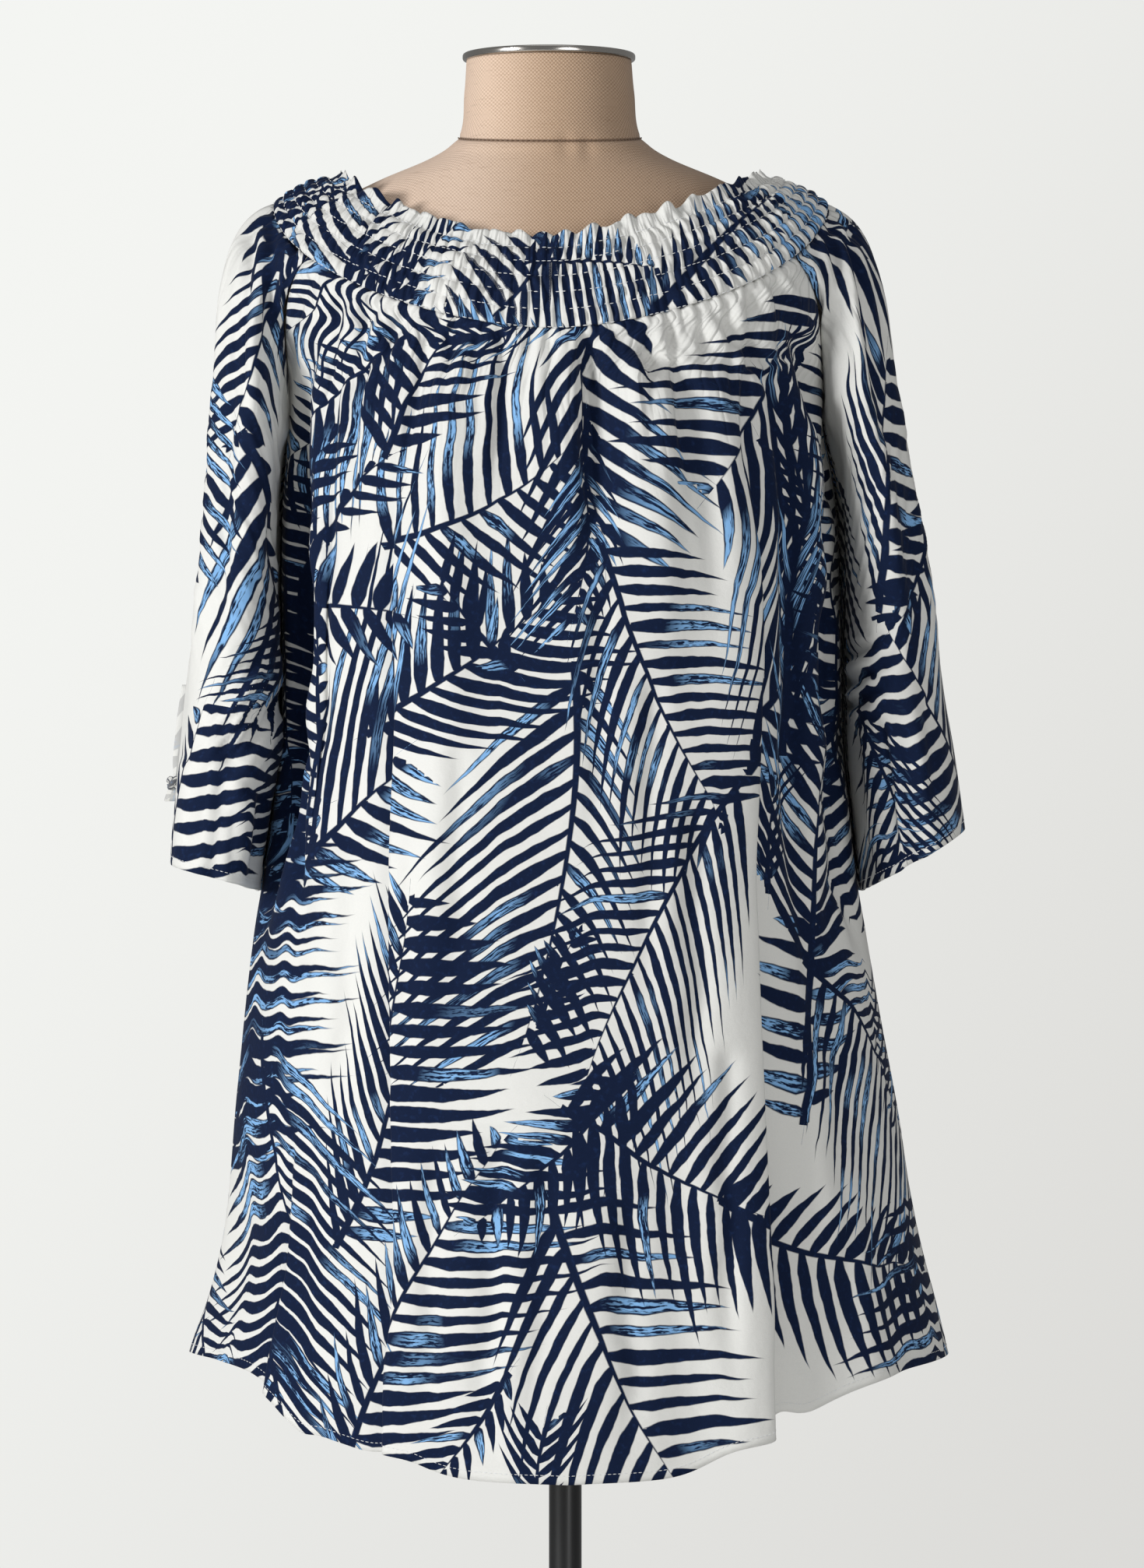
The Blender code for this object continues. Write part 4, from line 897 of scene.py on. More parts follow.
def panel_relief(facing, place, grid):
    """Gathers under the band, soft unevenness and pressed lines, measured out of the panel."""
    seed = 20 + facing
    drop, z = run_down(grid), grid[..., 2]
    strayed = place * PANEL_GATHERS + 0.35 * drift(place * 20.0, drop / 0.020, seed)
    fine = (np.abs(np.cos(math.pi * strayed)) ** 0.7 - 0.5) * PANEL_FINE * np.exp(-drop / 0.013)
    pleats = ripple(place * 19.0 + 0.25 * drift(place * 9.0, drop / 0.05, seed + 3), seed + 1)
    pleats = pleats * PANEL_PLEATS * smooth(drop / 0.012) * bump(drop / 0.085)
    tucks = ripple(place * 9.0, seed + 4) * PANEL_TUCKS * smooth(drop / 0.03) * bump(drop / 0.24)
    long = PANEL_LONG * drift(place * 17.0, z * 2.2, seed + 5) * smooth(drop / 0.06)
    soft = PANEL_SOFT * drift(place * 9.0 + z * 5.0, z * 12.0, seed + 6) * smooth(drop / 0.05)
    lift = fine + pleats + tucks + long + soft
    lift = lift + creases(BACK_CREASES if facing < 0 else FRONT_CREASES, grid)
    return lift * smooth(from_sides(place) / 0.03)


def flat_places(grid, across_sign, level_row, middle_column):
    """Flat places of an open grid: x from its middle column, y up from its level row."""
    around, down = run_across(grid), run_down(grid)
    x = across_sign * (around - around[:, middle_column:middle_column + 1])
    return np.stack([x, down[level_row:level_row + 1] - down], axis=-1)


def downs(above, below):
    """Rows of an open piece: some down to the underarm, then some down to the hem."""
    return np.concatenate([np.linspace(0.0, 1.0, above, endpoint=False), np.linspace(1.0, 2.0, below + 1)])


def finish_panel(name, grid, flat, seed):
    """Adds the sewn edges of an open panel and makes its shell."""
    grid = raised(grid, seam_dip(grid) + hem_pucker(grid, seed))
    inner = raised(grid, -(CLOTH_THIN + hem_thickness(grid)))
    return make_cloth(name, grid, inner, flat, gathers=GATHERS_RUN), grid, surface_normals(grid, False)


def body_panel(name, facing):
    steps = BACK_STEPS if facing < 0 else FRONT_STEPS
    levels = downs(YOKE_ROWS, SKIRT_ROWS)
    tops = [0.0, *(step.place_top for step in steps), 1.0]
    rows = []
    for fallen in np.maximum(0.0, levels - 1.0):
        now = [0.0, *(mix(step.place_top, step.place_hem, fallen) for step in steps), 1.0]
        rows.append(np.interp(panel_places(steps), tops, now))
    place = np.array(rows)
    down = np.broadcast_to(levels[:, None], place.shape)
    grid = draw_in(panel_point(facing, place, down), 0.5 * SEAM)
    grid = raised(grid, panel_relief(facing, place, grid))
    flat = flat_places(grid, facing, YOKE_ROWS, PANEL_COLUMNS // 2)
    if facing > 0:
        flat = flat + FRONT_CUT_SHIFT
    return finish_panel(name, grid, flat, 40 + facing)


# ---- Sleeves ------------------------------------------------------------------------------------
SLEEVE_COLUMNS = 150
CAP_ROWS = 40
ARM_ROWS = 110
SLEEVE_FINE = 0.0024      # heights of the sleeve's gathers at the band, of the pleats below them, of
SLEEVE_PLEATS = 0.0030    # its long, soft and upper-arm folds, and of the bunching beside the ties
SLEEVE_LONG = 0.0024
SLEEVE_SOFT = 0.0012
SLEEVE_HIGH = 0.0010
RIGHT_BUNCH = 0.0026
LEFT_BUNCH = 0.0028
SLEEVE_CUT_SHIFT = {1: (1.060, 0.120), -1: (0.640, 0.060)}   # where on the bolt a sleeve is cut


def sleeve_relief(arm, place, grid):
    """Gathers at the shoulder, long soft folds, and the bunching where the tie draws the cloth up."""
    seed = 60 + arm.side
    drop, z = run_down(grid), grid[..., 2]
    fine = (np.abs(np.cos(math.pi * place * 18.0)) ** 0.7 - 0.5) * SLEEVE_FINE * np.exp(-drop / 0.012)
    pleats = SLEEVE_PLEATS * ripple(place * 9.0, seed + 1) * smooth(drop / 0.010) * bump(drop / 0.090)
    long = SLEEVE_LONG * drift(place * 9.0, z * 3.0, seed + 2) * smooth(drop / 0.05)
    soft = SLEEVE_SOFT * drift(place * 8.0 + z * 6.0, z * 16.0, seed + 3)
    if arm.side > 0:
        wrinkles = ripple(z / 0.0095 + 0.9 * drift(place * 9.0, z * 24.0, seed + 4), seed + 5)
        bunch = RIGHT_BUNCH * wrinkles * bump((place - 0.15) / 0.10) * bump((z - 1.088) / 0.034)
    else:
        wrinkles = ripple((z + 0.35 * place) / 0.019, seed + 5)
        bunch = LEFT_BUNCH * wrinkles * bump((place - 0.17) / 0.12) * bump((z - 1.068) / 0.036)
    high = ripple((z - 0.5 * place) / 0.021, seed + 7) * bump((z - 1.20) / 0.07) * SLEEVE_HIGH
    hold = smooth(from_sides(place) / 0.04)
    laid = creases(RIGHT_CREASES if arm.side > 0 else LEFT_CREASES, grid) * smooth((0.5 - place) / 0.1)
    return (fine + pleats + long + soft + bunch + high + laid) * hold


def sleeve(name, arm):
    place, down = np.meshgrid(np.linspace(0.0, 1.0, SLEEVE_COLUMNS + 1), downs(CAP_ROWS, ARM_ROWS))
    grid = draw_in(sleeve_point(arm, place, down), 0.5 * SEAM)
    grid = raised(grid, sleeve_relief(arm, place, grid))
    flat = flat_places(grid, arm.side, CAP_ROWS, SLEEVE_COLUMNS // 2) + SLEEVE_CUT_SHIFT[arm.side]
    return finish_panel(name, grid, flat, 80 + arm.side)


# ---- Smocked neckband ---------------------------------------------------------------------------
BAND_COLUMNS = 9 * GATHERS
HEADING_ROWS = 8
PUFF_ROWS = 7
PUFF_RISE = 0.0037        # how far the cloth puffs out midway between two rows of elastic
ROW_RISE = 0.0018         # how far its gathers stand up where a row holds it down
RUFFLE_RISE = 0.0048      # how far the free heading flutes out at its edge
GATHER_SHARE = 1.2        # ridges for each gather of the solid
FLUTE_SHARE = 0.50        # and flutes at the free edge
BAND_FULLNESS = 1.70      # flat cloth for each length of band
BAND_LINING = 0.0009      # elastic and cloth behind the puffs
BAND_RADIUS = 0.155       # of the band when it is laid out round
BAND_FLAT_Y = 0.188       # where on the bolt its lower edge is cut
BAND_STRETCH = 1.1        # flat height for each height of band
FLUTTER_UP = 0.0026       # how far the free heading's edge rises and falls
FLUTTER_OUT = 0.0012      # and how far it sways in and out
FREE_SHARE = 0.80         # share of a flute's rise that the thin heading's inner side follows


def band_relief(turn, depth):
    """How far the gathered cloth stands out of the band's base; turn counts the solid's gathers."""
    gap = (depth - HEADING) / (1.0 - HEADING) * (STITCH_ROWS - 1)
    stray = 0.50 * drift(turn * 0.50, gap * 0.9 + 9.0, 5) + 0.20 * drift(turn * 1.6, gap * 2.1, 6)
    ridge = np.abs(np.cos(math.pi * (GATHER_SHARE * turn + stray))) ** 0.8
    sway = 0.8 * drift(turn * 0.35, 0.0 * turn, 12)
    flute = np.abs(np.cos(math.pi * (FLUTE_SHARE * turn + sway))) ** 0.8
    ridge = mix(ridge, flute, smooth(-1.4 * gap))
    uneven = 1.0 + 0.50 * drift(turn * 0.8, np.floor(gap) * 3.0 + 0.4, 7)
    puff = mix(ROW_RISE, PUFF_RISE, np.abs(np.sin(math.pi * gap)) ** 0.55)
    free = mix(ROW_RISE, RUFFLE_RISE, smooth(-gap))
    return (0.25 + 0.75 * ridge) * uneven * np.where(gap < 0.0, free, puff) + 0.0002


def neckband(name):
    depths = list(np.linspace(0.0, HEADING, HEADING_ROWS, endpoint=False))
    depths += list(np.linspace(HEADING, 1.0, (STITCH_ROWS - 1) * PUFF_ROWS + 1))
    angle, depth = np.meshgrid(round_angles(BAND_COLUMNS), depths)
    base = neckband_point(angle, depth)
    normals = surface_normals(base, True)
    turn = angle * GATHERS / (2.0 * math.pi)
    outer = base + normals * band_relief(turn, depth)[..., None]
    flutter = smooth((HEADING - depth) / HEADING)
    outer += points_of(0.0, 0.0, 1.0) * (FLUTTER_UP * flutter * ripple(turn * 0.34, 8))[..., None]
    outer += normals * (FLUTTER_OUT * flutter * ripple(turn * 0.21, 9))[..., None]
    inner = base - normals * BAND_LINING
    inner += (outer - inner) * (FREE_SHARE * flutter ** 0.5)[..., None]
    x = -(np.linspace(0.0, 2.0 * math.pi, BAND_COLUMNS + 1) - 0.5 * math.pi) * BAND_RADIUS * BAND_FULLNESS
    y = (BAND_FLAT_Y + run_up(base)[:, :1]) * BAND_STRETCH
    flat = points_of(x[None, :], y, 0.0)[..., :2]
    return make_cloth(name, outer, inner, flat, closed=True, gathers=GATHERS_RUN), outer, normals


# ---- Sleeve ties --------------------------------------------------------------------------------
TIE_DROP = 0.0565         # from the strap's top to its knot
TIE_WIDTH = 0.0088
KNOT_RADIUS = 0.0036
TIE_TUBE = 0.0019
TIE_ROWS = 26
TIE_COLUMNS = 9
TIE_THICKNESS = 0.0011
TIE_END = 1.34            # length of strap and flared end, as a share of the drop to the knot
KNOT_AT = 1.13            # and where the knot's middle is
KNOT_OUT = 0.0022         # how far the strap leaves its own line at the knot
KNOT_PITCH = 0.0030       # flat cloth for each face of the knot
KNOT_INK = 0.8


def tie_strap(place, down):
    """The hanging strap and, past the knot, its flared end, around the tie's own centre line."""
    narrow = 1.0 - 0.55 * bump((down - 0.80) / 0.09) + 0.20 * smooth((down - 0.86) / 0.14)
    curl = 0.0016 * np.sin(2.0 * math.pi * down * 0.8) * (1.0 - down)
    x = 0.0011 * np.cos(math.pi * (place - 0.5)) + curl
    y = (place - 0.5) * TIE_WIDTH * narrow
    return points_of(x + KNOT_OUT * smooth((down - 0.7) / 0.2), y, -down * TIE_DROP * TIE_END)


def tie_turn(tie, points):
    """Turns a tie's own points so that it hangs beside its sleeve, face to the back."""
    x = tie.side * tie.x + lean_x(tie.top_z)
    turned = points_of(tie.side * (0.45 * points[..., 0] + points[..., 1]), -points[..., 0], points[..., 2])
    out = points_of(-tie.side * tie.slope * points[..., 2], 0.0 * points[..., 2], 0.0 * points[..., 2])
    return turned + out + np.array([x, tie.y, tie.top_z])


def knot_loop():
    """The knot: a round cord of cloth along a pulled-tight overhand loop, as a closed grid."""
    t = round_angles(60)
    line = points_of(np.cos(t) + 1.6 * np.cos(2 * t), 1.2 * (np.sin(t) - 1.6 * np.sin(2 * t)),
                     1.5 * np.sin(3 * t))
    line = line * KNOT_RADIUS / 2.6
    ahead = unit(np.roll(line, -1, axis=0) - np.roll(line, 1, axis=0))
    side = unit(np.cross(ahead, line + 1e-5))
    other = np.cross(side, ahead)
    around = round_angles(12)
    ring = line[None] + TIE_TUBE * (side[None] * np.cos(around)[:, None, None]
                                    + other[None] * np.sin(around)[:, None, None])
    return ring * np.array([0.8, 1.0, 1.15])


def close_tube(name, ring, flat_middle):
    """A tube whose rows go round it and whose columns close along it."""
    rows, columns = ring.shape[:2]
    corner_rows, corner_columns = grid_quads(rows + 1, columns + 1)
    index = (corner_rows % rows) * columns + corner_columns % columns
    corners = np.stack([corner_columns, corner_rows], axis=-1) * KNOT_PITCH + flat_middle
    return printed_piece(name, ring.reshape(-1, 3), index, corners, np.full(len(index), KNOT_INK))


def sleeve_tie(name, tie):
    place, down = np.meshgrid(np.linspace(0.0, 1.0, TIE_COLUMNS), np.linspace(0.0, 1.0, TIE_ROWS))
    outer = tie_turn(tie, tie_strap(place, down))
    normals = surface_normals(outer, False)
    flat = np.stack([(place - 0.5) * TIE_WIDTH - 0.055, -down * TIE_DROP - 0.09], axis=-1)
    strap = make_cloth(f"{name}_strap", outer, outer - normals * TIE_THICKNESS, flat, right_side_out=False)
    middle = points_of(KNOT_OUT, 0.0, -TIE_DROP * KNOT_AT)
    knot = close_tube(f"{name}_knot", tie_turn(tie, knot_loop() + middle), np.array([0.02, -0.20]))
    return strap, knot


# ---- Dress form and stand -----------------------------------------------------------------------
NECK_SEAM_Z = 1.4405
NECK_SEAM_DIP = 0.0075     # how much lower the seam runs at the back's middle
NECK_BACK = 0.0565
NECK_RADIUS = 0.055
NECK_SEAM_IN = 0.0010      # how far the linen dips at that seam, over NECK_SEAM_WIDTH
NECK_SEAM_WIDTH = 0.0013
NECK_SEAM_ROLL = 0.0006    # and how far it rolls out below it
DIMPLE_IN = 0.0022
NECK_DIMPLES = ((0.010, 1.4290), (0.024, 1.4270))   # small puckers under the neck seam, x and z
FINE_FROM_Z = 1.37         # above this the form's rows lie close together, for its seam
TURNED_SIDES = 128


def loft(name, rings, material):
    """A closed solid through rings of points, bottom to top, capped at both ends."""
    height, width = rings.shape[:2]
    rows, columns = grid_quads(height, width + 1)
    faces = (rows * width + columns % width)[:, ::-1].tolist()
    faces.append(list(range(width))[::-1])
    faces.append(list(range((height - 1) * width, height * width)))
    mesh = bpy.data.meshes.new(name)
    mesh.from_pydata(rings.reshape(-1, 3).tolist(), [], faces)
    mesh.materials.append(material)
    mesh.shade_smooth()
    return put(name, mesh)


def neck_seam_height(angle):
    """The form's neck seam runs lower at the back."""
    return NECK_SEAM_Z - NECK_SEAM_DIP * np.maximum(-np.sin(angle), 0.0)


def form_point(angle, z, grow=1.0):
    row = read_rows(FORM_SECTIONS, z)
    depth = np.where(np.sin(angle) >= 0, row.front, row.back)
    return points_of(row.half_width * power(np.cos(angle), FORM_ROUNDNESS) * grow + lean_x(z),
                     depth * power(np.sin(angle), FORM_ROUNDNESS) * grow, z)


def dress_form(name):
    heights = np.concatenate([np.linspace(FORM_SECTIONS[0].z, FINE_FROM_Z, 70, endpoint=False),
                              np.linspace(FINE_FROM_Z, NECK_TOP_Z, 90)])
    angle, z = np.meshgrid(round_angles(144), heights)
    below = z - neck_seam_height(angle)
    seam = -NECK_SEAM_IN * bump(below / NECK_SEAM_WIDTH) + NECK_SEAM_ROLL * bump((below + 0.004) / 0.003)
    grow = 1.0 + seam / NECK_RADIUS
    rings = form_point(angle, z, grow)
    for dimple_x, dimple_z in NECK_DIMPLES:
        across = (rings[..., 0] - lean_x(z)) / grow - dimple_x
        near = bump(across / 0.0035) * bump((z - dimple_z) / 0.0080) * (rings[..., 1] < 0)
        rings[..., 1] += DIMPLE_IN * near * grow
    return loft(name, rings, LINEN)


def turned(name, profile, centre_x, material):
    """A round solid from (radius, height) pairs, bottom to top."""
    radius, z = (np.array(column)[:, None] for column in zip(*profile))
    angle = round_angles(TURNED_SIDES)[None]
    piece = loft(name, points_of(centre_x + radius * np.cos(angle), radius * np.sin(angle), z), material)
    piece.data.set_sharp_from_angle(angle=math.radians(35.0))
    return piece


def rounded(radius, low, high, edge):
    """Profile of a disc with rounded edges."""
    turns = np.linspace(0.0, 0.5 * math.pi, 6)
    lower = [(radius - edge + edge * math.sin(t), low + edge - edge * math.cos(t)) for t in turns]
    upper = [(radius - edge + edge * math.cos(t), high - edge + edge * math.sin(t)) for t in turns]
    return lower + upper


def stand():
    plate_low = NECK_TOP_Z + SEAM
    disc = rounded(PLATE_RADIUS, plate_low, plate_low + PLATE_THICKNESS, 0.0015)
    plate = turned("chrome_neck_plate", disc, lean_x(NECK_TOP_Z), CHROME)
    hub_top = BASE_THICKNESS + HUB_HEIGHT
    pole = turned("black_pole", [(POLE_RADIUS, hub_top + SEAM), (POLE_RADIUS, FORM_SECTIONS[0].z - SEAM)],
                  0.0, BLACK_GLOSS)
    profile = rounded(BASE_RADIUS, 0.0, BASE_THICKNESS, 0.0030)
    profile += [(HUB_RADIUS + 0.004, BASE_THICKNESS), (HUB_RADIUS + 0.001, BASE_THICKNESS + 0.001)]
    profile += [(HUB_RADIUS, BASE_THICKNESS + 0.004), (HUB_RADIUS, hub_top - 0.003),
                (HUB_RADIUS - 0.001, hub_top - 0.001), (HUB_RADIUS - 0.003, hub_top)]
    base = turned("black_base", profile, 0.0, BLACK_GLOSS)
    return plate, pole, base


# ---- Threads ------------------------------------------------------------------------------------
def stitches_tree():
    """Geometry nodes that lay short thick threads along the edges of a mesh."""
    tree = bpy.data.node_groups.new("stitches", "GeometryNodeTree")
    face = tree.interface
    face.new_socket("Line", in_out="INPUT", socket_type="NodeSocketGeometry")
    for name in ("Stitch pitch", "Stitch length", "Thread radius", "Share kept"):
        face.new_socket(name, in_out="INPUT", socket_type="NodeSocketFloat")
    face.new_socket("Seed", in_out="INPUT", socket_type="NodeSocketInt")
    face.new_socket("Thread", in_out="INPUT", socket_type="NodeSocketMaterial")
    face.new_socket("Stitches", in_out="OUTPUT", socket_type="NodeSocketGeometry")

    def node(kind, **settings):
        made = tree.nodes.new(kind)
        for key, value in settings.items():
            setattr(made, key, value)
        return made

    given = node("NodeGroupInput").outputs
    curve = node("GeometryNodeMeshToCurve")
    spaced = node("GeometryNodeResampleCurve", mode="LENGTH")
    thread = node("GeometryNodeMeshUVSphere")
    thread.inputs["Segments"].default_value = 6
    thread.inputs["Rings"].default_value = 5
    half = node("ShaderNodeMath", operation="MULTIPLY")
    half.inputs[1].default_value = 0.5
    size = node("ShaderNodeCombineXYZ")
    way = node("GeometryNodeInputTangent")
    turn = node("FunctionNodeAlignRotationToVector", axis="X")
    kept = node("FunctionNodeRandomValue", data_type="BOOLEAN")
    place = node("GeometryNodeInstanceOnPoints")
    real = node("GeometryNodeRealizeInstances")
    paint = node("GeometryNodeSetMaterial")
    end = node("NodeGroupOutput")
    for start, finish in (
            (given["Line"], curve.inputs["Mesh"]),
            (curve.outputs["Curve"], spaced.inputs["Curve"]),
            (given["Stitch pitch"], spaced.inputs["Length"]),
            (spaced.outputs["Curve"], place.inputs["Points"]),
            (thread.outputs["Mesh"], place.inputs["Instance"]),
            (given["Stitch length"], half.inputs[0]),
            (half.outputs[0], size.inputs["X"]),
            (given["Thread radius"], size.inputs["Y"]),
            (given["Thread radius"], size.inputs["Z"]),
            (size.outputs["Vector"], place.inputs["Scale"]),
            (way.outputs["Tangent"], turn.inputs["Vector"]),
            (turn.outputs["Rotation"], place.inputs["Rotation"]),
            (given["Share kept"], kept.inputs["Probability"]),
            (given["Seed"], kept.inputs["Seed"]),
            (kept.outputs[3], place.inputs["Selection"]),
            (place.outputs["Instances"], real.inputs["Geometry"]),
            (real.outputs["Geometry"], paint.inputs["Geometry"]),
            (given["Thread"], paint.inputs["Material"]),
            (paint.outputs["Geometry"], end.inputs["Stitches"])):
        tree.links.new(start, finish)
    return tree


def sew(name, tree, lines, pitch, length, radius, thread, kept=1.0, seed=1):
    """Threads along some lines of points, as one plain mesh."""
    vertices, edges = [], []
    for line in lines:
        first = len(vertices)
        vertices += [tuple(point) for point in line]
        edges += [(first + i, first + i + 1) for i in range(len(line) - 1)]
    mesh = bpy.data.meshes.new(f"{name}_line")
    mesh.from_pydata(vertices, edges, [])
    path = put(f"{name}_line", mesh)
    layer = path.modifiers.new("stitches", "NODES")
    layer.node_group = tree
    given = {"Stitch pitch": pitch, "Stitch length": length, "Thread radius": radius,
             "Share kept": kept, "Seed": seed, "Thread": thread}
    for item in tree.interface.items_tree:
        if item.in_out == "INPUT" and item.name in given:
            layer[item.identifier] = given[item.name]
    bpy.context.view_layer.update()
    evaluated = path.evaluated_get(bpy.context.evaluated_depsgraph_get())
    sewn = bpy.data.meshes.new_from_object(evaluated)
    sewn.name = name
    sewn.shade_smooth()
    bpy.data.objects.remove(path, do_unlink=True)
    return put(name, sewn)


def line_above_hem(grid, normals, up, lift):
    """The line on a panel's outer face at a height above its lower edge."""
    heights, lifted = run_up(grid)[::-1], (grid + lift * normals)[::-1]
    return np.array([[np.interp(up, heights[:, column], lifted[:, column, i]) for i in range(3)]
                     for column in range(grid.shape[1])])


# ---- Materials ----------------------------------------------------------------------------------
def math_sign(operation):
    return lambda value, other: value.nodes.maths(operation, value, other)


class Value:
    """A number that changes over a surface. Its operators add Math nodes."""

    def __init__(self, nodes, socket):
        self.nodes, self.socket = nodes, socket

    def __rsub__(self, other):
        return self.nodes.maths("SUBTRACT", other, self)

    def __abs__(self):
        return self.nodes.maths("ABSOLUTE", self)

    __add__ = __radd__ = math_sign("ADD")
    __mul__ = __rmul__ = math_sign("MULTIPLY")
    __sub__, __truediv__, __pow__ = map(math_sign, ("SUBTRACT", "DIVIDE", "POWER"))
    __gt__, __lt__ = map(math_sign, ("GREATER_THAN", "LESS_THAN"))


class Nodes:
    """A tree of shading nodes, and short ways to add to it."""

    def __init__(self, tree):
        self.tree = tree

    def fill(self, node, sockets):
        """Sets a node's inputs to plain values or to what comes out of other nodes."""
        for key, value in sockets.items():
            name = key if isinstance(key, int) else key.replace("_", " ")
            value = value.socket if isinstance(value, Value) else value
            if isinstance(value, bpy.types.NodeSocket):
                self.tree.links.new(value, node.inputs[name])
            else:
                node.inputs[name].default_value = value

    def node(self, kind, settings=None, sockets=None):
        made = self.tree.nodes.new(kind)
        for key, value in (settings or {}).items():
            setattr(made, key, value)
        self.fill(made, sockets or {})
        return made

    def maths(self, operation, *values, clamp=False):
        settings = {"operation": operation, "use_clamp": clamp}
        return Value(self, self.node("ShaderNodeMath", settings, dict(enumerate(values))).outputs[0])

    def clamped(self, value):
        return self.maths("ADD", value, 0.0, clamp=True)

    def larger(self, one, other):
        return self.maths("MAXIMUM", one, other)

    def step(self, low, high, value):
        """0 below low, 1 above high, smooth between."""
        node = self.node("ShaderNodeMapRange", {"interpolation_type": "SMOOTHSTEP"},
                         {"Value": value, "From Min": low, "From Max": high})
        return Value(self, node.outputs["Result"])

    def split(self, vector):
        node = self.node("ShaderNodeSeparateXYZ", sockets={0: vector})
        return [Value(self, output) for output in node.outputs]

    def join(self, x, y, z):
        return self.node("ShaderNodeCombineXYZ", sockets={"X": x, "Y": y, "Z": z}).outputs[0]

    def noise(self, vector, scale, detail=2.0, roughness=0.5):
        node = self.node("ShaderNodeTexNoise", sockets={
            "Vector": vector, "Scale": scale, "Detail": detail, "Roughness": roughness})
        return Value(self, node.outputs[0])

    def blend(self, low, high, part):
        """A colour between two colours."""
        node = self.node("ShaderNodeMix", {"data_type": "RGBA"}, {0: part})
        for at, value in ((6, low), (7, high)):
            self.fill(node, {at: value if isinstance(value, bpy.types.NodeSocket) else (*value, 1.0)})
        return node.outputs[2]


class Finish(Nodes):
    """A material and the nodes that give it its look."""

    def __init__(self, name, **sockets):
        self.material = bpy.data.materials.new(name)
        self.material.use_nodes = True
        super().__init__(self.material.node_tree)
        self.shader = self.tree.nodes["Principled BSDF"]
        self.wear(**sockets)

    def wear(self, **sockets):
        """Sets inputs of the shader, and gives the material."""
        self.fill(self.shader, sockets)
        return self.material

    def attribute(self, name, output):
        return self.node("ShaderNodeAttribute", {"attribute_name": name}).outputs[output]

    def place(self):
        """Where a point lies on its own piece."""
        return self.node("ShaderNodeTexCoord").outputs["Object"]

    def raise_by(self, height, distance, strength):
        """Sends a height through Bump to the shader's normal."""
        node = self.node("ShaderNodeBump", sockets={
            "Height": height, "Distance": distance, "Strength": strength})
        return self.wear(Normal=node.outputs[0])


def linear(red, green, blue):
    """Linear colour of an 8-bit screen colour."""
    shares = [value / 255.0 for value in (red, green, blue)]
    return tuple(v / 12.92 if v <= 0.04045 else ((v + 0.055) / 1.055) ** 2.4 for v in shares)


NAVY = linear(14, 28, 56)
FADED_NAVY = linear(28, 50, 92)
SKY_BLUE = linear(132, 180, 228)
CLOTH_WHITE = linear(230, 230, 226)
# Widths and strays of leaflets are shares of their spacing along the rib.
EDGE_SHARPNESS = 22.0       # how crisply a leaflet ends
LEAFLET_WIDTH = 0.235       # half the width of the thinnest
BOLDER = 0.11               # what the boldest frond adds to it
WIDER = 0.16                # and what chance adds to a leaflet
LEAFLET_STRAY = 0.22        # how far leaflets stray and bend
TIP_LEAST = 0.84            # share of its reach that the shortest leaflet has
TIP_MORE = 0.26             # and what chance adds
RIB_WIDTH = 0.18
BRUSH_SIZE = 9.0            # dry-brush streaks across a leaflet
BRUSH_SHARPNESS = 16.0
WEAVE_TURNS = 2600.0        # radians of linen weave in a metre
GATHER_ACROSS = 85.0        # turns of the gathers' waves in a metre, across and down the cloth
GATHER_DOWN = 8.0
GATHER_DEPTH = 1.5          # of a gather, in crumples


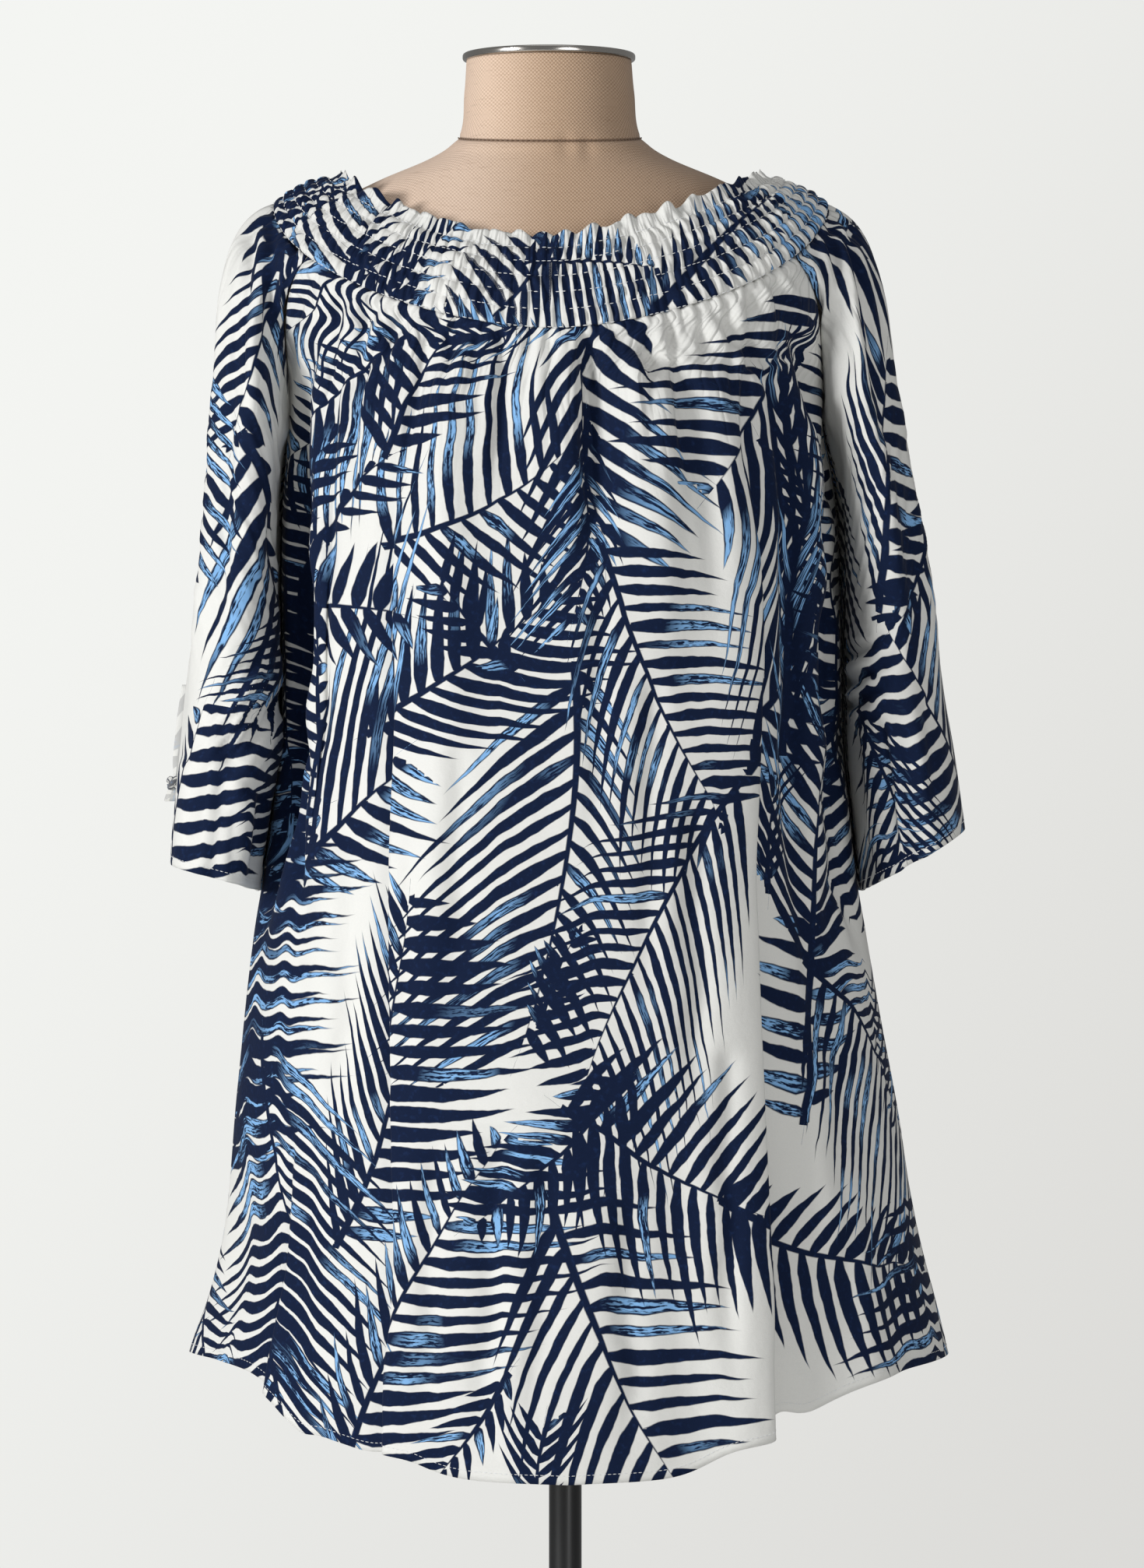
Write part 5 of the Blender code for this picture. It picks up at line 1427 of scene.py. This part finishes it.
def frond_ink(finish, slot):
    """Ink, and light-blue brush strokes in it, of the frond in one slot."""
    along, across, own = finish.split(finish.attribute(f"frond_{slot}", "Vector"))
    length, reach, slant = finish.split(finish.attribute(f"frond_form_{slot}", "Vector"))
    number = finish.maths("FLOOR", own)
    bold, blue = finish.maths("FRACT", number * 0.37), own - number
    wobble = finish.noise(finish.join(along, across, number), 0.9) - 0.5
    side, out = finish.maths("SIGN", across), abs(across)
    leaning = slant * out * (SLANT_AT_ROOT + SLANT_GROWTH * out / reach)
    root = along - leaning + LEAFLET_STRAY * wobble + 0.25 * side
    leaflet = finish.maths("FLOOR", root)
    chance = finish.node("ShaderNodeTexWhiteNoise", {"noise_dimensions": "3D"},
                         {"Vector": finish.join(leaflet, side, number)})
    longer, wider, swaying = finish.split(chance.outputs["Color"])
    away = ((leaflet + 0.5) / length - FULLEST_AT) / FULLNESS
    bulge = finish.larger(1.0 - away * away, 0.0) ** 0.5 * (leaflet > -1.5)
    progress = out / finish.larger(reach * bulge * (TIP_LEAST + TIP_MORE * longer), 0.01)
    taper = finish.larger(1.0 - progress ** 2.6, 0.0)
    neck = finish.maths("MINIMUM", 0.52 + 2.6 * progress, 1.0)
    width = (LEAFLET_WIDTH + BOLDER * bold + WIDER * wider) * taper * neck
    offset = root - leaflet - 0.5 + (swaying - 0.5) * LEAFLET_STRAY * progress
    blade = finish.clamped((width - abs(offset)) * EDGE_SHARPNESS)
    rib = finish.clamped((RIB_WIDTH * (1.15 - along / length) - out) * EDGE_SHARPNESS)
    rib = rib * (along > -1.2) * (along < length)
    streaks = finish.noise(finish.join(offset * BRUSH_SIZE, out * 0.55, leaflet * 7.3 + number), 1.0)
    specks = finish.noise(finish.join(offset * 13.0, out * 3.2, leaflet * 5.1 + number), 1.0)
    zone = finish.noise(finish.join(along * 0.13, across * 0.13, number * 3.7), 1.0, 1.0)
    brush = finish.clamped((0.55 * streaks + 0.45 * specks - 0.46) * BRUSH_SHARPNESS)
    brush = brush * finish.clamped((width * 0.80 - abs(offset)) * BRUSH_SHARPNESS) * (swaying > 1.0 - blue)
    brush = brush * finish.clamped((progress - 0.30 * longer) * 6.0) * finish.clamped((zone - 0.44) * 12.0)
    return finish.larger(blade, rib), brush


def printed_cloth(fronds):
    """Thin cotton with a print. fronds is how many palm fronds cross the faces that wear it."""
    finish = Finish(f"printed_cloth_{fronds}", Roughness=0.85, Specular_IOR_Level=0.12,
                    Sheen_Weight=0.04, Sheen_Roughness=0.4)
    cut = finish.node("ShaderNodeUVMap", {"uv_map": "cut"}).outputs[0]
    strength = Value(finish, finish.attribute("ink", "Fac"))
    colour = finish.blend(CLOTH_WHITE, tuple(0.93 * c for c in CLOTH_WHITE), finish.noise(cut, 900.0))
    if fronds:
        blank, brush = 1.0, 0.0
        for slot in range(fronds):
            ink, streak = frond_ink(finish, slot)
            blank = blank * (1.0 - ink)
            brush = finish.larger(brush * (1.0 - ink), streak * ink)
        worn = finish.step(0.52, 0.80, finish.noise(cut, 260.0, 3.0))
        navy = finish.blend(NAVY, FADED_NAVY, worn * 0.55)
        colour = finish.blend(colour, navy, (1.0 - blank) * strength)
        colour = finish.blend(colour, SKY_BLUE, brush * strength)
    across, down, _ = finish.split(cut)
    pulled = Value(finish, finish.attribute("pulled", "Fac"))
    wave = finish.noise(finish.join(across * GATHER_ACROSS, down * GATHER_DOWN, 0.0), 1.0, 1.0) - 0.5
    gather = finish.clamped(1.0 - 8.0 * abs(wave))
    crumple = finish.noise(cut, 55.0, 3.0, 0.55) + 0.08 * finish.noise(cut, 1400.0, 1.0)
    finish.raise_by(crumple - GATHER_DEPTH * gather * pulled, 0.0016, 0.55)
    return finish.wear(Base_Color=colour)


def linen():
    """Unbleached linen with painted light and shade: a lit copy towards the left, a shaded copy towards the
    right and a painted highlight on the left, with a dark line at the seam of the neck.
    """
    finish = Finish("oatmeal_linen", Roughness=0.9, Specular_IOR_Level=0.18, Sheen_Weight=0.15)
    place = finish.place()
    x, y, z = finish.split(place)
    normal = finish.node("ShaderNodeNewGeometry").outputs["Normal"]
    facing = [abs(part) ** 6.0 for part in finish.split(normal)]
    sway = 1.6 * finish.noise(place, 150.0)
    thread_x, thread_y, thread_z = (finish.maths("SINE", part * WEAVE_TURNS + sway) for part in (x, y, z))
    planes = (thread_y * thread_z, thread_x * thread_z, thread_x * thread_y)
    weave = sum((plane * share for plane, share in zip(planes, facing)), 0.0) / sum(facing, 0.001)
    weave = 0.5 + 0.5 * weave
    slub = finish.noise(finish.join(x * 60.0, y * 60.0, z * 900.0), 1.0, 3.0)
    # Painted light and shade: a lit copy of the linen and a darker shaded copy, blended from left to right.
    light = finish.blend(linear(170, 138, 110), linear(222, 194, 167), weave)
    dark = finish.blend(linear(140, 113, 90), linear(184, 159, 136), weave)
    colour = finish.blend(light, dark, finish.step(-0.10, 0.13, x))
    # Painted highlight: a paler, whiter linen laid over the form's left side.
    painted_highlight = finish.blend(linear(216, 190, 168), linear(255, 232, 215), weave)
    colour = finish.blend(colour, painted_highlight, (1.0 - finish.step(-0.075, 0.0, x)) * 0.66)
    colour = finish.blend(colour, linear(150, 120, 94), finish.step(0.55, 0.8, slub) * 0.30)
    dip = NECK_SEAM_DIP * finish.larger(y * -1.0 / NECK_BACK, 0.0)
    seam = 1.0 - finish.step(0.0004, 0.0014, abs(z + dip - NECK_SEAM_Z))
    finish.raise_by(weave, 0.0005, 0.5)
    return finish.wear(Base_Color=finish.blend(colour, linear(104, 80, 62), seam * 0.75))


def smudged(name, low, more, scale, detail, **sockets):
    """A smooth finish whose roughness wanders up from low."""
    finish = Finish(name, **sockets)
    return finish.wear(Roughness=low + more * finish.noise(finish.place(), scale, detail))


def flecked(name, colour, share, scale, detail, **sockets):
    """A finish whose colour wanders between a share of itself and itself."""
    finish = Finish(name, **sockets)
    dim = tuple(share * part for part in colour)
    return finish.wear(Base_Color=finish.blend(dim, colour, finish.noise(finish.place(), scale, detail)))


def sewing_thread(name, colour):
    return flecked(name, colour, 0.8, 2200.0, 2.0, Roughness=0.6, Sheen_Weight=0.2)


BOLT_FRONDS = bolt_fronds()
PRINTED_CLOTH = [printed_cloth(fronds) for fronds in range(FROND_SLOTS + 1)]
LINEN = linen()
CHROME = smudged("polished_chrome", 0.10, 0.16, 60.0, 4.0, Metallic=1.0, Roughness=0.16,
                 Base_Color=(0.48, 0.46, 0.43, 1.0))
BLACK_GLOSS = smudged("gloss_black_paint", 0.26, 0.12, 45.0, 2.0, Roughness=0.3, Coat_Weight=0.4,
                      Coat_Roughness=0.12, Base_Color=(*linear(6, 7, 9), 1.0))
WHITE_THREAD = sewing_thread("white_thread", linear(238, 240, 242))
TAN_THREAD = sewing_thread("tan_thread", linear(112, 86, 64))

# ---- The tunic ----------------------------------------------------------------------------------
STITCH_LIFT = 0.00012       # how far a hem's thread stands off the cloth
SMOCKING_LIFT = 0.00045     # and the smocking's
stitching = stitches_tree()
back_piece, back_grid, back_normals = body_panel("back_panel_cloth", -1)
front_piece, front_grid, front_normals = body_panel("front_panel_cloth", 1)
sleeve_left, left_grid, left_normals = sleeve("sleeve_left_cloth", LEFT)
sleeve_right, right_grid, right_normals = sleeve("sleeve_right_cloth", RIGHT)
band_piece, band_grid, band_normals = neckband("smocked_neckband_cloth")
hem_lines = [line_above_hem(grid, normals, STITCH_UP, STITCH_LIFT)
             for grid, normals in ((back_grid, back_normals), (front_grid, front_normals),
                                   (left_grid, left_normals), (right_grid, right_normals))]
hem_stitches = sew("hem_stitches", stitching, hem_lines, 0.0032, 0.0024, 0.00022, WHITE_THREAD)

held_rows = (band_grid + SMOCKING_LIFT * band_normals)[HEADING_ROWS::PUFF_ROWS]
band_stitches = sew("smocking_stitches", stitching, [[*line, line[0]] for line in held_rows],
                    0.0038, 0.0029, 0.00030, WHITE_THREAD, kept=0.72, seed=3)

ties = {side: sleeve_tie(f"tie_{side}_cloth", tie) for side, tie in TIES.items()}

# ---- The form and its stand ---------------------------------------------------------------------
SEAM_OUT = 1.002            # how far the seam's thread stands off the neck, as a share
form = dress_form("linen_form")
plate, pole, base = stand()
seam_angle = np.linspace(0.0, 2.0 * math.pi, 200)
seam_line = form_point(seam_angle, neck_seam_height(seam_angle), SEAM_OUT)
form_stitches = sew("form_seam_stitches", stitching, [seam_line], 0.0034, 0.0021, 0.00045, TAN_THREAD)

# ---- How each piece belongs to the frame --------------------------------------------------------
for piece, node, slot in (
        (back_piece, "back_panel", "printed_cloth"), (front_piece, "front_panel", "printed_cloth"),
        (sleeve_left, "sleeve_left", "printed_cloth"), (sleeve_right, "sleeve_right", "printed_cloth"),
        (band_piece, "smocked_neckband", "printed_cloth"), (ties["left"][0], "tie_left", "printed_cloth"),
        (ties["right"][0], "tie_right", "printed_cloth"), (form, "dress_form", "linen"),
        (plate, "neck_plate", "polished_steel"), (pole, "pole", "black_paint"),
        (base, "base", "black_paint"),
        (ties["left"][1], None, "printed_cloth"), (ties["right"][1], None, "printed_cloth"),
        (hem_stitches, None, "printed_cloth"), (band_stitches, None, "printed_cloth"),
        (form_stitches, None, "linen")):
    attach(piece, "root")
    if node:
        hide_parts(node)

# ---- Floor, light and camera --------------------------------------------------------------------
FLOOR_RADIUS = 3.5
FLOOR_BOTTOM, FLOOR_TOP = -0.02, -0.0004
around = round_angles(199)
edges = [points_of(FLOOR_RADIUS * np.cos(around), FLOOR_RADIUS * np.sin(around), z)
         for z in (FLOOR_BOTTOM, FLOOR_TOP)]
floor = loft("studio_floor", np.stack(edges), flecked(
    "pale_studio_floor", linear(232, 232, 230), 0.985, 0.8, 1.0, Roughness=0.9, Specular_IOR_Level=0.1))


def area_light(name, where, aim, size, power_watts):
    data = bpy.data.lights.new(name, "AREA")
    data.shape, data.size, data.energy = "DISK", size, power_watts
    lamp = put(name, data)
    lamp.location = where
    lamp.rotation_euler = (Vector(aim) - Vector(where)).to_track_quat("-Z", "Y").to_euler()


area_light("key_softbox", (-3.0, -2.3, 1.75), (0.0, 0.0, 1.05), 1.2, 106.0)
area_light("front_fill", (1.8, -3.7, 1.2), (0.0, 0.0, 1.0), 2.0, 36.0)
area_light("top_fill", (0.0, -0.5, 3.2), (0.0, 0.0, 1.0), 1.6, 3.0)

# The cloth is lit by an even white room. The camera sees a paper wall with painted shade that darkens it to
# the right.
world = bpy.data.worlds.new("studio")
bpy.context.scene.world = world
world.use_nodes = True
room = Nodes(world.node_tree)
sky = room.tree.nodes["Background"]
room.fill(sky, {"Color": (1.0, 1.0, 1.0, 1.0), "Strength": 0.24})
to_right, _, upwards = room.split(room.node("ShaderNodeTexCoord").outputs["Generated"])
# Painted shade: the paper's colour darkens towards the lower right.
paper = room.blend(linear(244, 245, 242), linear(216, 215, 212),
                   room.step(-0.12, 0.19, to_right * 0.75 + upwards * -0.5))
backdrop = room.node("ShaderNodeBackground", sockets={"Color": paper})
seen = room.node("ShaderNodeLightPath").outputs["Is Camera Ray"]
either = room.node("ShaderNodeMixShader", sockets={0: seen, 1: sky.outputs[0], 2: backdrop.outputs[0]})
room.fill(room.tree.nodes["World Output"], {"Surface": either.outputs[0]})

PIXEL = 0.0005              # what one pixel of the full picture covers at the form's axis
PICTURE_HEIGHT = 2014
SENSOR = 36.0
DISTANCE = 4.17
lens = bpy.data.cameras.new("camera")
lens.sensor_fit = "VERTICAL"
lens.sensor_height = SENSOR
lens.lens = SENSOR * DISTANCE / (PICTURE_HEIGHT * PIXEL)
camera = put("camera", lens)
camera.location = (0.0043, -DISTANCE, 1.0255)
camera.rotation_euler = (math.pi / 2.0, 0.0, 0.0)
bpy.context.scene.camera = camera
bpy.context.scene.view_settings.view_transform = "Standard"
